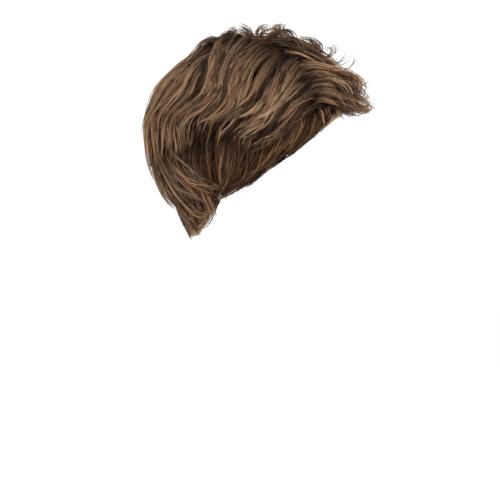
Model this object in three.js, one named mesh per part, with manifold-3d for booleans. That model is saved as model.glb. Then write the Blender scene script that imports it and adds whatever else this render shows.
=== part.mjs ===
// Short layered synthetic wig: a hollow stretch cap, the tape along its rim and six sections of hair.
// A section is a mat of hair sewn to the cap, with the locks that spring from it fused to it.
// Millimetres, +Z up. The wearer faces -Y, so their right side is at -X.
// The origin is the inside of the cap where it rests on the top of the head.
import * as THREE from "three";
import { mergeVertices } from "three/addons/utils/BufferGeometryUtils.js";
import Module from "manifold-3d";

const wasm = await Module();
wasm.setup();

// Head form that the cap is cut for, an egg of half axes
const HALF_BREADTH = 77;
const HALF_LENGTH = 102.5;
const CROWN_RISE = 105;
const NAPE_DROP = 176;
const HEAD_CENTRE = new THREE.Vector3(0, -6.5, -CROWN_RISE);

// Cap and edge tape
const CAP_WALL = 1.5;
const CAP_SEGMENTS = 36;
const CAP_ROWS = 9;
const TAPE_GAP = 0.6;
const TAPE_WALL = 1;
const TAPE_ABOVE_RIM = 3.5; // degrees of tilt
const TAPE_BELOW_RIM = 0.7;

// Hair
const MAT_GAP = 1.3;
const MAT_SHARE = 0.3; // share of the hair's depth that a mat fills
const CROWN_SHARE = 0.45;
const CROWN_SEGMENTS = 30;
const CROWN_ROWS = 4;
const MAT_ABOVE_RIM = 4.5; // degrees of tilt
const PATCH_GAP = 0.5; // degrees between neighbouring mats
const LOCK_SIDES = 4;
const LOCK_STEP = 28; // length of lock for each ring of vertices
const LEAST_STEPS = 4;
const LOCK_FLATNESS = 0.55; // thickness of a lock over its width
const LOCK_CLEARANCE = 3.9; // least height of a lock over the head form, clear of the tape
const ROOT_BLUNTNESS = 0.75; // power that moves the widest place of a lock towards its root
const TIP_STRAY = 2.5; // how far a tip strays sideways from its place in the weft
const LIFT_STRAY = 1.25;
const SECTION_GAP = 0.4;
const LENGTHEN = 0.06; // share of its length that a lock gains for each millimetre that it grows

// Places on the head are a turn round +Z from the front towards the wearer's right,
// and a tilt down from the top, in degrees.
// Rim of the cap on the right side, which the left side mirrors
const RIM = [
  { turn: 0, tilt: 72 },
  { turn: 20, tilt: 74 },
  { turn: 40, tilt: 81 },
  { turn: 60, tilt: 91 },
  { turn: 70, tilt: 94 },
  { turn: 80, tilt: 97 },
  { turn: 90, tilt: 98 },
  { turn: 100, tilt: 98 },
  { turn: 110, tilt: 101 },
  { turn: 120, tilt: 111 },
  { turn: 140, tilt: 125 },
  { turn: 180, tilt: 129 },
];

// Depth of the hair over the cap at the front, the sides and the back
const DEPTH = [
  { tilt: 0, front: 33, side: 33, back: 33 },
  { tilt: 30, front: 31, side: 28, back: 29 },
  { tilt: 45, front: 30, side: 24, back: 27 },
  { tilt: 60, front: 30, side: 21, back: 34 },
  { tilt: 80, front: 8, side: 16, back: 37 },
  { tilt: 100, front: 6, side: 10, back: 28 },
  { tilt: 115, front: 6, side: 7, back: 9 },
  { tilt: 130, front: 6, side: 6, back: 5 },
];

// Edges between the areas of the cap that the mats cover
const CROWN_EDGE = 46;
const FRINGE_EDGE = 48;
const SIDE_EDGE = 118;
const NAPE_EDGE = 97;
const SIDE_HEM = 94;

// Wefts of hair. Each row of locks lies between two places, [turn, tilt] for its first and last lock,
// at the root, the middle and the tip. The lifts are heights over the head form at the same three.
// A weft of both sides is mirrored, and one across the top runs from right to left.
// The taper is the share of its width that a lock loses before its tip closes.
const WEFTS = [
  {
    section: "crown_hair", both: false, locks: 5, width: 17, wave: 2, taper: 0.4,
    root: [[140, 24], [-140, 24]], mid: [[115, 14], [-115, 14]], tip: [[70, 13], [-70, 13]],
    lift: [[21, 30, 37], [21, 30, 37]],
  },
  {
    section: "crown_hair", both: false, locks: 5, width: 18, wave: 2, taper: 0.4,
    root: [[110, 18], [-110, 18]], mid: [[60, 20], [-60, 20]], tip: [[48, 31], [-48, 31]],
    lift: [[21, 31, 36], [21, 31, 36]],
  },
  {
    section: "crown_hair", both: false, locks: 6, width: 22, wave: 2, taper: 0.4,
    root: [[72, 26], [-72, 26]], mid: [[56, 37], [-56, 37]], tip: [[46, 48], [-46, 48]],
    lift: [[20, 28, 35], [20, 28, 35]],
  },
  {
    section: "crown_hair", both: true, locks: 6, width: 22, wave: 5, taper: 0.3,
    root: [[30, 42], [100, 10]], mid: [[70, 64], [122, 58]], tip: [[92, 93], [142, 86]],
    lift: [[21, 20, 15], [25, 31, 28]],
  },
  {
    section: "crown_hair", both: true, locks: 4, width: 27, wave: 5, taper: 0.2,
    root: [[116, 9], [180, 14]], mid: [[128, 60], [180, 58]], tip: [[148, 84], [180, 86]],
    lift: [[18, 31, 31], [16, 33, 35]],
  },
  {
    section: "fringe", both: false, locks: 6, width: 25, wave: 2, taper: 0.3,
    root: [[54, 47], [-54, 47]], mid: [[41, 53], [-41, 53]], tip: [[28, 59], [-28, 59]],
    lift: [[12, 27, 46], [12, 27, 46]],
  },
  {
    section: "fringe", both: false, locks: 6, width: 25, wave: 2, taper: 0.2,
    root: [[58, 50], [-58, 50]], mid: [[47, 60], [-47, 60]], tip: [[32, 69], [-32, 69]],
    lift: [[12, 27, 44], [12, 27, 44]],
  },
  {
    section: "fringe", both: false, locks: 6, width: 24, wave: 2, taper: 0.3,
    root: [[60, 58], [-60, 58]], mid: [[48, 67], [-48, 67]], tip: [[34, 75], [-34, 75]],
    lift: [[8, 16, 34], [8, 16, 34]],
  },
  {
    section: "side_hair", both: true, locks: 3, width: 21, wave: 3, taper: 0.3,
    root: [[40, 52], [80, 50]], mid: [[62, 71], [86, 72]], tip: [[80, 93], [100, 95]],
    lift: [[10, 15, 12], [14, 18, 14]],
  },
  {
    section: "side_hair", both: true, locks: 4, width: 20, wave: 1, taper: 0,
    root: [[82, 74], [120, 73]], mid: [[85, 89], [119, 94]], tip: [[90, 104], [118, 113]],
    lift: [[7, 12, 9], [8, 15, 11]],
  },
  {
    section: "side_hair", both: true, locks: 4, width: 17, wave: 1, taper: 0.2,
    root: [[36, 64], [78, 69]], mid: [[49, 78], [80, 85]], tip: [[62, 92], [88, 101]],
    lift: [[7, 10, 7], [8, 12, 8]],
  },
  {
    section: "back_hair", both: true, locks: 4, width: 25, wave: 4, taper: 0.1,
    root: [[137, 43], [180, 54]], mid: [[133, 76], [180, 80]], tip: [[136, 99], [180, 103]],
    lift: [[12, 22, 19], [16, 35, 26]],
  },
  {
    section: "back_hair", both: true, locks: 4, width: 23, wave: 2, taper: 0.1,
    root: [[126, 76], [180, 82]], mid: [[127, 96], [180, 100]], tip: [[119, 111], [172, 120]],
    lift: [[8, 14, 10], [14, 28, 6]],
  },
  {
    section: "nape_hair", both: true, locks: 4, width: 19, wave: 1, taper: 0.1,
    root: [[128, 98], [180, 104]], mid: [[125, 108], [180, 117]], tip: [[121, 117], [176, 131]],
    lift: [[8, 11, 6], [12, 9, 5]],
  },
];

const FIBRE_LIGHT = new THREE.MeshStandardMaterial({ color: 0x6a5240, roughness: 0.5, metalness: 0 });
const FIBRE_DARK = new THREE.MeshStandardMaterial({ color: 0x4e3a2c, roughness: 0.55, metalness: 0 });
const NET = new THREE.MeshStandardMaterial({ color: 0x2c221b, roughness: 0.9, metalness: 0 });
const TAPE = new THREE.MeshStandardMaterial({ color: 0xb48a64, roughness: 0.85, metalness: 0 });

const { clamp, degToRad, radToDeg, lerp } = THREE.MathUtils;
const FULL_TURN = 360;
const MERGE_DISTANCE = 1e-4;
const SHORT_STEP = 0.01; // share of a lock's length over which its direction is taken
const HASH = { weft: 12.9898, lock: 78.233, channel: 37.719, spread: 43758.5453 };

// Repeatable stray of a lock, from -1 to 1
function stray(weft, lock, channel) {
  const mix = Math.sin(weft * HASH.weft + lock * HASH.lock + channel * HASH.channel) * HASH.spread;
  return 2 * (mix - Math.floor(mix)) - 1;
}

function direction(turn, tilt) {
  const around = degToRad(turn);
  const down = degToRad(tilt);
  return new THREE.Vector3(
    -Math.sin(down) * Math.sin(around),
    -Math.sin(down) * Math.cos(around),
    Math.cos(down),
  );
}

function headAxes(toward) {
  return new THREE.Vector3(HALF_BREADTH, HALF_LENGTH, toward.z > 0 ? CROWN_RISE : NAPE_DROP);
}

function headNormal(toward) {
  return toward.clone().divide(headAxes(toward)).normalize();
}

function headPoint(toward, lift) {
  const seat = toward.clone().multiply(headAxes(toward)).add(HEAD_CENTRE);
  return seat.addScaledVector(headNormal(toward), lift);
}

// Value of a table's column between two of its rows
function tableValue(table, place, at, column) {
  const upper = Math.max(1, table.findIndex((row) => row[place] >= at));
  const [a, b] = [table[upper - 1], table[upper]];
  return lerp(a[column], b[column], (at - a[place]) / (b[place] - a[place]));
}

function rimTilt(turn) {
  const fromFront = Math.abs(turn) % FULL_TURN;
  return tableValue(RIM, "turn", Math.min(fromFront, FULL_TURN - fromFront), "tilt");
}

function hairDepth(turn, tilt) {
  const ahead = Math.cos(degToRad(turn));
  const end = tableValue(DEPTH, "tilt", tilt, ahead > 0 ? "front" : "back");
  return lerp(tableValue(DEPTH, "tilt", tilt, "side"), end, ahead * ahead);
}

// Moves every vertex of a closed geometry by a rule and makes a solid of it
function solidFrom(geometry, place) {
  geometry.deleteAttribute("normal");
  geometry.deleteAttribute("uv");
  const spot = new THREE.Vector3();
  const corners = geometry.attributes.position;
  for (let i = 0; i < corners.count; i += 1) {
    spot.fromBufferAttribute(corners, i);
    corners.setXYZ(i, ...place(spot).toArray());
  }
  const closed = mergeVertices(geometry, MERGE_DISTANCE);
  const triangles = [];
  for (let i = 0; i < closed.index.count; i += 3) {
    const [a, b, c] = [0, 1, 2].map((corner) => closed.index.getX(i + corner));
    if (a !== b && b !== c && c !== a) triangles.push(a, b, c);
  }
  return new wasm.Manifold(new wasm.Mesh({
    numProp: 3,
    vertProperties: new Float32Array(closed.attributes.position.array),
    triVerts: new Uint32Array(triangles),
  }));
}

// Body of revolution bent over the head, from a profile of points (share of the tilt, height)
function domeSolid(profile, segments, tiltAt, liftAt) {
  const points = profile.map(([share, height]) => new THREE.Vector2(share, height));
  return solidFrom(new THREE.LatheGeometry(points, segments), (spot) => {
    const turn = -radToDeg(Math.atan2(spot.x, spot.z));
    const tilt = tiltAt(turn, Math.hypot(spot.x, spot.z));
    return headPoint(direction(turn, tilt), liftAt(turn, tilt, spot.y));
  });
}

// Profile of a wall that starts and ends on the axis, with its two faces at heights 0 and 1
function wallProfile(rows) {
  const shares = Array.from({ length: rows + 1 }, (_, row) => row / rows);
  const inside = shares.map((share) => [share, 0]);
  const outside = shares.map((share) => [share, 1]);
  return [...inside, ...outside.reverse()];
}

function capSolid() {
  return domeSolid(
    wallProfile(CAP_ROWS),
    CAP_SEGMENTS,
    (turn, share) => share * rimTilt(turn),
    (turn, tilt, height) => height * CAP_WALL,
  );
}

// The tape's profile closes on itself, one unit out from the axis
function tapeSolid() {
  const ring = [[1, 0], [2, 0], [2, 1], [1, 1], [1, 0]];
  return domeSolid(
    ring,
    CAP_SEGMENTS,
    (turn, share) => rimTilt(turn) + lerp(-TAPE_ABOVE_RIM, TAPE_BELOW_RIM, share - 1),
    (turn, tilt, height) => CAP_WALL + TAPE_GAP + height * TAPE_WALL,
  );
}

// Height of a mat's inner face, or of its outer face where outer is true
function matLift(turn, tilt, outer, share, grow) {
  const base = CAP_WALL + MAT_GAP;
  return outer ? base + grow + share * hairDepth(turn, tilt) : base - grow;
}

function crownMat(grow) {
  return domeSolid(
    wallProfile(CROWN_ROWS),
    CROWN_SEGMENTS,
    (turn, share) => share * (CROWN_EDGE + grow),
    (turn, tilt, height) => matLift(turn, tilt, height > 0, CROWN_SHARE, grow),
  );
}

// Mat between two turns, from one tilt down to a lower edge
function patchMat({ turns, top, lowerEdge, columns, rows }, grow) {
  const [first, last] = [turns[0] + PATCH_GAP / 2 - grow, turns[1] - PATCH_GAP / 2 + grow];
  return solidFrom(new THREE.BoxGeometry(1, 1, 1, columns, rows, 1), (spot) => {
    const turn = lerp(first, last, spot.x + 0.5);
    const tilt = lerp(top + PATCH_GAP - grow, lowerEdge(turn) + grow, spot.y + 0.5);
    return headPoint(direction(turn, tilt), matLift(turn, tilt, spot.z > 0, MAT_SHARE, grow));
  });
}

const aboveRim = (turn) => rimTilt(turn) - MAT_ABOVE_RIM;
const aboveEar = (turn) => Math.min(aboveRim(turn), SIDE_HEM);
const aboveNape = () => NAPE_EDGE;
const FRONT_TURNS = [-FRINGE_EDGE, FRINGE_EDGE];
const RIGHT_TURNS = [FRINGE_EDGE, SIDE_EDGE];
const LEFT_TURNS = [-SIDE_EDGE, -FRINGE_EDGE];
const BACK_TURNS = [SIDE_EDGE, FULL_TURN - SIDE_EDGE];
const PATCHES = {
  fringe: { turns: FRONT_TURNS, top: CROWN_EDGE, lowerEdge: aboveRim, columns: 8, rows: 3 },
  side_hair_right: { turns: RIGHT_TURNS, top: CROWN_EDGE, lowerEdge: aboveEar, columns: 6, rows: 5 },
  side_hair_left: { turns: LEFT_TURNS, top: CROWN_EDGE, lowerEdge: aboveEar, columns: 6, rows: 5 },
  back_hair: { turns: BACK_TURNS, top: CROWN_EDGE, lowerEdge: aboveNape, columns: 10, rows: 4 },
  nape_hair: { turns: BACK_TURNS, top: NAPE_EDGE, lowerEdge: aboveRim, columns: 10, rows: 3 },
};

function matSolid(section, grow) {
  return section in PATCHES ? patchMat(PATCHES[section], grow) : crownMat(grow);
}

// Curve through three values at 0, 1/2 and 1
function through([start, middle, end], s) {
  return start * (2 * s - 1) * (s - 1) + 4 * middle * s * (1 - s) + end * s * (2 * s - 1);
}

// Outer line of one lock: a point and the head's normal there, at each share s of its length
function lockLine(weft, number, side, index) {
  const share = (index + 0.5) / weft.locks;
  const key = 2 * number + (side < 0 ? 1 : 0);
  const spots = [weft.root, weft.mid, weft.tip].map((pair) => {
    const [first, last] = pair.map(([turn, tilt]) => direction(side * turn, tilt));
    return first.lerp(last, share).normalize();
  });
  const lifts = weft.lift[0].map((lift, i) => lerp(lift, weft.lift[1][i], share));
  const [sideways, upward] = [stray(key, index, 1), stray(key, index, 2)];

  const onHead = (s) => {
    const toward = new THREE.Vector3(
      through(spots.map((spot) => spot.x), s),
      through(spots.map((spot) => spot.y), s),
      through(spots.map((spot) => spot.z), s),
    ).normalize();
    const lift = through(lifts, s) + LIFT_STRAY * upward * s;
    return { point: headPoint(toward, lift), normal: headNormal(toward) };
  };
  return (s) => {
    const { point, normal } = onHead(s);
    const along = onHead(s + SHORT_STEP).point.sub(onHead(s - SHORT_STEP).point).normalize();
    const across = normal.clone().cross(along).normalize();
    const swing = side * weft.wave * Math.sin(2 * Math.PI * s) + TIP_STRAY * sideways * s;
    return { point: point.addScaledVector(across, swing), normal, across };
  };
}

// Keeps a point at a least height over the head form
function raisedTo(least, point) {
  const inward = point.clone().sub(HEAD_CENTRE);
  const toward = inward.divide(headAxes(inward)).normalize();
  const normal = headNormal(toward);
  const lift = point.clone().sub(headPoint(toward, 0)).dot(normal);
  return point.addScaledVector(normal, Math.max(least - lift, 0));
}

// Tapered lock that lies just under its outer line
function lockSolid(weft, line, grow) {
  const [root, middle, tip] = [0, 0.5, 1].map((s) => line(s).point);
  const length = root.distanceTo(middle) + middle.distanceTo(tip);
  const steps = Math.max(LEAST_STEPS, Math.round(length / LOCK_STEP));
  return solidFrom(new THREE.SphereGeometry(1, LOCK_SIDES, steps), (spot) => {
    const s = Math.acos(clamp(spot.y, -1, 1)) / Math.PI;
    const { point, normal, across } = line(s + (2 * s - 1) * grow * LENGTHEN);
    const swell = Math.sqrt(Math.sin(Math.PI * s ** ROOT_BLUNTNESS)) * (1 - weft.taper * s * s);
    const halfWidth = (weft.width / 2) * swell;
    const halfDepth = LOCK_FLATNESS * halfWidth;
    const around = Math.atan2(spot.z, spot.x);
    const open = Math.min(Math.hypot(spot.x, spot.z) / MERGE_DISTANCE, 1);
    point.addScaledVector(normal, open * Math.sin(around) * (halfDepth + grow) - halfDepth);
    point.addScaledVector(across, open * Math.cos(around) * (halfWidth + grow));
    return raisedTo(LOCK_CLEARANCE - grow, point);
  });
}

// Sides of the head, 1 for right and -1 for left, on which a weft belongs to a section
function weftSides(weft, section) {
  if (section === `${weft.section}_right`) return [1];
  if (section === `${weft.section}_left`) return [-1];
  if (section !== weft.section) return [];
  return weft.both ? [1, -1] : [1];
}

// Mat and locks of one section, with all its faces moved outwards by grow
function sectionSolid(section, grow) {
  let solid = matSolid(section, grow);
  WEFTS.forEach((weft, number) => {
    for (const side of weftSides(weft, section)) {
      for (let index = 0; index < weft.locks; index += 1) {
        solid = solid.add(lockSolid(weft, lockLine(weft, number, side, index), grow));
      }
    }
  });
  return solid;
}

function largestBody(solid) {
  const bodies = solid.decompose();
  return bodies.reduce((best, body) => (body.volume() > best.volume() ? body : best));
}

function namedMesh(name, solid, material) {
  const { vertProperties, triVerts } = solid.getMesh();
  const geometry = new THREE.BufferGeometry();
  geometry.setAttribute("position", new THREE.BufferAttribute(vertProperties, 3));
  geometry.setIndex(new THREE.BufferAttribute(triVerts, 1));
  geometry.computeVertexNormals();
  const mesh = new THREE.Mesh(geometry, material);
  mesh.name = name;
  return mesh;
}

const wig = new THREE.Group();
wig.add(namedMesh("cap", capSolid(), NET));
wig.add(namedMesh("edge_tape", tapeSolid(), TAPE));

// Sections from the outermost inwards: each one makes room for those that lie over it
const LAYERS = [
  { section: "crown_hair", fibre: FIBRE_LIGHT },
  { section: "fringe", fibre: FIBRE_LIGHT },
  { section: "back_hair", fibre: FIBRE_LIGHT },
  { section: "side_hair_right", fibre: FIBRE_DARK },
  { section: "side_hair_left", fibre: FIBRE_DARK },
  { section: "nape_hair", fibre: FIBRE_DARK },
];
const overlying = [];
for (const { section, fibre } of LAYERS) {
  const whole = sectionSolid(section, 0);
  const fitted = overlying.reduce((solid, room) => solid.subtract(room), whole);
  wig.add(namedMesh(section, largestBody(fitted), fibre));
  overlying.push(whole.add(sectionSolid(section, SECTION_GAP)));
}

export default wig;
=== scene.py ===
"""Short tousled wig of brown synthetic fibre on a stretch cap, built strand by strand.

Metres, +Z up. The front of the wig is at -Y and its right side at -X. The origin is the top of the
inside of the cap.
"""

import math
from collections import namedtuple

import bmesh
import bpy
import numpy as np
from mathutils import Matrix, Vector


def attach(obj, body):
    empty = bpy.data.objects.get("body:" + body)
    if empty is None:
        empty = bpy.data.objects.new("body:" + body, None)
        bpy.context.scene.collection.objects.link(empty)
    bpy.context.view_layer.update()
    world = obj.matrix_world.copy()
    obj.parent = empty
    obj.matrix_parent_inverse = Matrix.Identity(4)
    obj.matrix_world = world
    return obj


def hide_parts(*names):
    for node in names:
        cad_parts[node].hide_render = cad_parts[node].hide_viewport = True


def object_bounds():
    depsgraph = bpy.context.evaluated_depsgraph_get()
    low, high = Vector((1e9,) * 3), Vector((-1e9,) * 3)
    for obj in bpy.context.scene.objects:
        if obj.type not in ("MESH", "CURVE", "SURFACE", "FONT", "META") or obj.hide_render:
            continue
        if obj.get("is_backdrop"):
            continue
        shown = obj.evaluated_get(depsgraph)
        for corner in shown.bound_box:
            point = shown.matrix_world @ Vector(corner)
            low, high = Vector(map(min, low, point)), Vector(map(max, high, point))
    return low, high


bl_info = {
    "name": "Short synthetic wig",
    "version": (1, 0, 0),
    "blender": (4, 5, 0),
    "location": "3D View > Sidebar > Wig",
    "description": "Builds a short brown wig strand by strand over its stretch cap",
    "category": "Add Mesh",
}

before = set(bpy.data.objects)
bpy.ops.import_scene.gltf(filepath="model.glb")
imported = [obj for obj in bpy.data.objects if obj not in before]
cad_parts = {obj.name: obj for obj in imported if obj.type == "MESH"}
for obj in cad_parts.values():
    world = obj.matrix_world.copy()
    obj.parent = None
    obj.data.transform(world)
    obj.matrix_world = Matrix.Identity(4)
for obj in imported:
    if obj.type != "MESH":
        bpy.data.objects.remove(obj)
CAD_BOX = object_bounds()
BODY = "root"
STRAND_MAP = "OFBake"
NET_MAP = "net"

# Form of the inside of the cap, an egg of half axes
HALF_BREADTH = 0.077
HALF_LENGTH = 0.1025
CROWN_RISE = 0.105
NAPE_DROP = 0.176
FORM_CENTRE = np.array([0.0, -0.0065, -CROWN_RISE])

# Places on the cap are a turn round +Z from the front towards the right side,
# and a tilt down from the top, in degrees.
# Rim of the cap on the right side, which the left side mirrors
RimRow = namedtuple("RimRow", "turn tilt")
RIM = [
    RimRow(turn=0, tilt=72),
    RimRow(turn=20, tilt=74),
    RimRow(turn=40, tilt=81),
    RimRow(turn=60, tilt=91),
    RimRow(turn=70, tilt=94),
    RimRow(turn=80, tilt=97),
    RimRow(turn=90, tilt=98),
    RimRow(turn=100, tilt=98),
    RimRow(turn=110, tilt=101),
    RimRow(turn=120, tilt=111),
    RimRow(turn=140, tilt=125),
    RimRow(turn=180, tilt=129),
]

# Depth of the hair over the cap at the front, the sides and the back
DepthRow = namedtuple("DepthRow", "tilt front side back")
DEPTH = [
    DepthRow(tilt=0, front=0.033, side=0.033, back=0.033),
    DepthRow(tilt=30, front=0.031, side=0.028, back=0.029),
    DepthRow(tilt=45, front=0.030, side=0.024, back=0.027),
    DepthRow(tilt=60, front=0.030, side=0.021, back=0.034),
    DepthRow(tilt=80, front=0.008, side=0.016, back=0.037),
    DepthRow(tilt=100, front=0.006, side=0.010, back=0.028),
    DepthRow(tilt=115, front=0.006, side=0.007, back=0.009),
    DepthRow(tilt=130, front=0.006, side=0.006, back=0.005),
]

# Wefts of hair. Each row of locks lies between two places, (turn, tilt) for its first and last lock,
# at the root, the middle and the tip. The lifts are heights over the cap's form at the same three.
# The rows are those of the right side, which the left side mirrors.
# The wave is how far a lock swings to its sides, and the mess how far its tip strays.
# The pinch is the share of its width that a lock loses at its tip, and the tone runs from 0, dark, to 1.
# Hair under other hair is sparse, and dark as painted shade of the hair over it.
Weft = namedtuple("Weft", "piece locks width wave mess root mid tip lift pinch tone under")
WEFTS = [
    # Row of the fringe that falls over the front rim
    Weft(
        piece="fringe", locks=5, width=0.018, wave=0.001, mess=0.001,
        root=((2, 52), (50, 57)), mid=((2, 63), (48, 71)), tip=((2, 72), (45, 82)),
        lift=((0.006, 0.011, 0.008), (0.006, 0.011, 0.008)), pinch=0.2, tone=0.3, under=False,
    ),
    # Long back locks of the crown
    Weft(
        piece="crown_side", locks=4, width=0.027, wave=0.005, mess=0.003,
        root=((135, 12), (180, 14)), mid=((140, 58), (180, 58)), tip=((150, 86), (180, 88)),
        lift=((0.016, 0.030, 0.031), (0.014, 0.032, 0.035)), pinch=0.4, tone=0.66, under=False,
    ),
    # Hair under the long side locks, dark as their painted shade
    Weft(
        piece="crown_side", locks=6, width=0.028, wave=0.003, mess=0.002,
        root=((15, 34), (150, 14)), mid=((60, 52), (150, 45)), tip=((84, 78), (160, 72)),
        lift=((0.018, 0.016, 0.012), (0.021, 0.026, 0.022)), pinch=0.2, tone=0.05, under=True,
    ),
    Weft(
        piece="side", locks=7, width=0.026, wave=0.003, mess=0.002,
        root=((30, 52), (160, 42)), mid=((60, 72), (160, 68)), tip=((78, 96), (165, 96)),
        lift=((0.013, 0.012, 0.008), (0.018, 0.024, 0.018)), pinch=0.2, tone=0.05, under=True,
    ),
    Weft(
        piece="side", locks=7, width=0.024, wave=0.002, mess=0.002,
        root=((74, 70), (170, 72)), mid=((84, 87), (168, 95)), tip=((92, 105), (152, 118)),
        lift=((0.008, 0.010, 0.007), (0.014, 0.018, 0.010)), pinch=0.2, tone=0.1, under=True,
    ),
    Weft(
        piece="side", locks=8, width=0.020, wave=0.001, mess=0.001,
        root=((80, 84), (122, 88)), mid=((87, 95), (122, 100)), tip=((94, 104), (124, 114)),
        lift=((0.005, 0.007, 0.006), (0.006, 0.008, 0.006)), pinch=0.1, tone=0.1, under=True,
    ),
    Weft(
        piece="nape", locks=3, width=0.016, wave=0.001, mess=0.001,
        root=((106, 92), (126, 101)), mid=((111, 100), (127, 109)), tip=((113, 107), (127, 117)),
        lift=((0.005, 0.006, 0.005), (0.005, 0.006, 0.005)), pinch=0.1, tone=0.1, under=True,
    ),
    # Edges at the temples, along the side cuts of the cap and behind them
    Weft(
        piece="side", locks=6, width=0.018, wave=0.001, mess=0.001,
        root=((26, 60), (70, 74)), mid=((33, 70), (72, 86)), tip=((45, 81), (84, 97)),
        lift=((0.006, 0.008, 0.005), (0.007, 0.009, 0.005)), pinch=0.3, tone=0.35, under=False,
    ),
    Weft(
        piece="side", locks=5, width=0.018, wave=0.001, mess=0.001,
        root=((78, 80), (114, 82)), mid=((84, 91), (116, 94)), tip=((94, 103), (118, 106)),
        lift=((0.006, 0.008, 0.006), (0.007, 0.010, 0.007)), pinch=0.3, tone=0.3, under=False,
    ),
    Weft(
        piece="nape", locks=7, width=0.019, wave=0.001, mess=0.001,
        root=((112, 90), (180, 112)), mid=((114, 99), (180, 122)), tip=((112, 106), (178, 131)),
        lift=((0.006, 0.008, 0.006), (0.008, 0.005, 0.003)), pinch=0.3, tone=0.8, under=False,
    ),
    # Back and nape
    Weft(
        piece="back", locks=4, width=0.027, wave=0.004, mess=0.003,
        root=((137, 43), (180, 54)), mid=((136, 76), (180, 80)), tip=((140, 99), (180, 103)),
        lift=((0.012, 0.022, 0.019), (0.016, 0.035, 0.026)), pinch=0.4, tone=0.68, under=False,
    ),
    Weft(
        piece="back", locks=4, width=0.025, wave=0.002, mess=0.003,
        root=((126, 76), (180, 82)), mid=((127, 96), (180, 100)), tip=((121, 111), (174, 114)),
        lift=((0.008, 0.014, 0.010), (0.014, 0.028, 0.010)), pinch=0.4, tone=0.68, under=False,
    ),
    Weft(
        piece="nape", locks=4, width=0.021, wave=0.001, mess=0.002,
        root=((128, 98), (180, 104)), mid=((125, 108), (180, 117)), tip=((121, 117), (176, 131)),
        lift=((0.008, 0.011, 0.006), (0.012, 0.006, 0.003)), pinch=0.4, tone=0.9, under=False,
    ),
]
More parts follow.
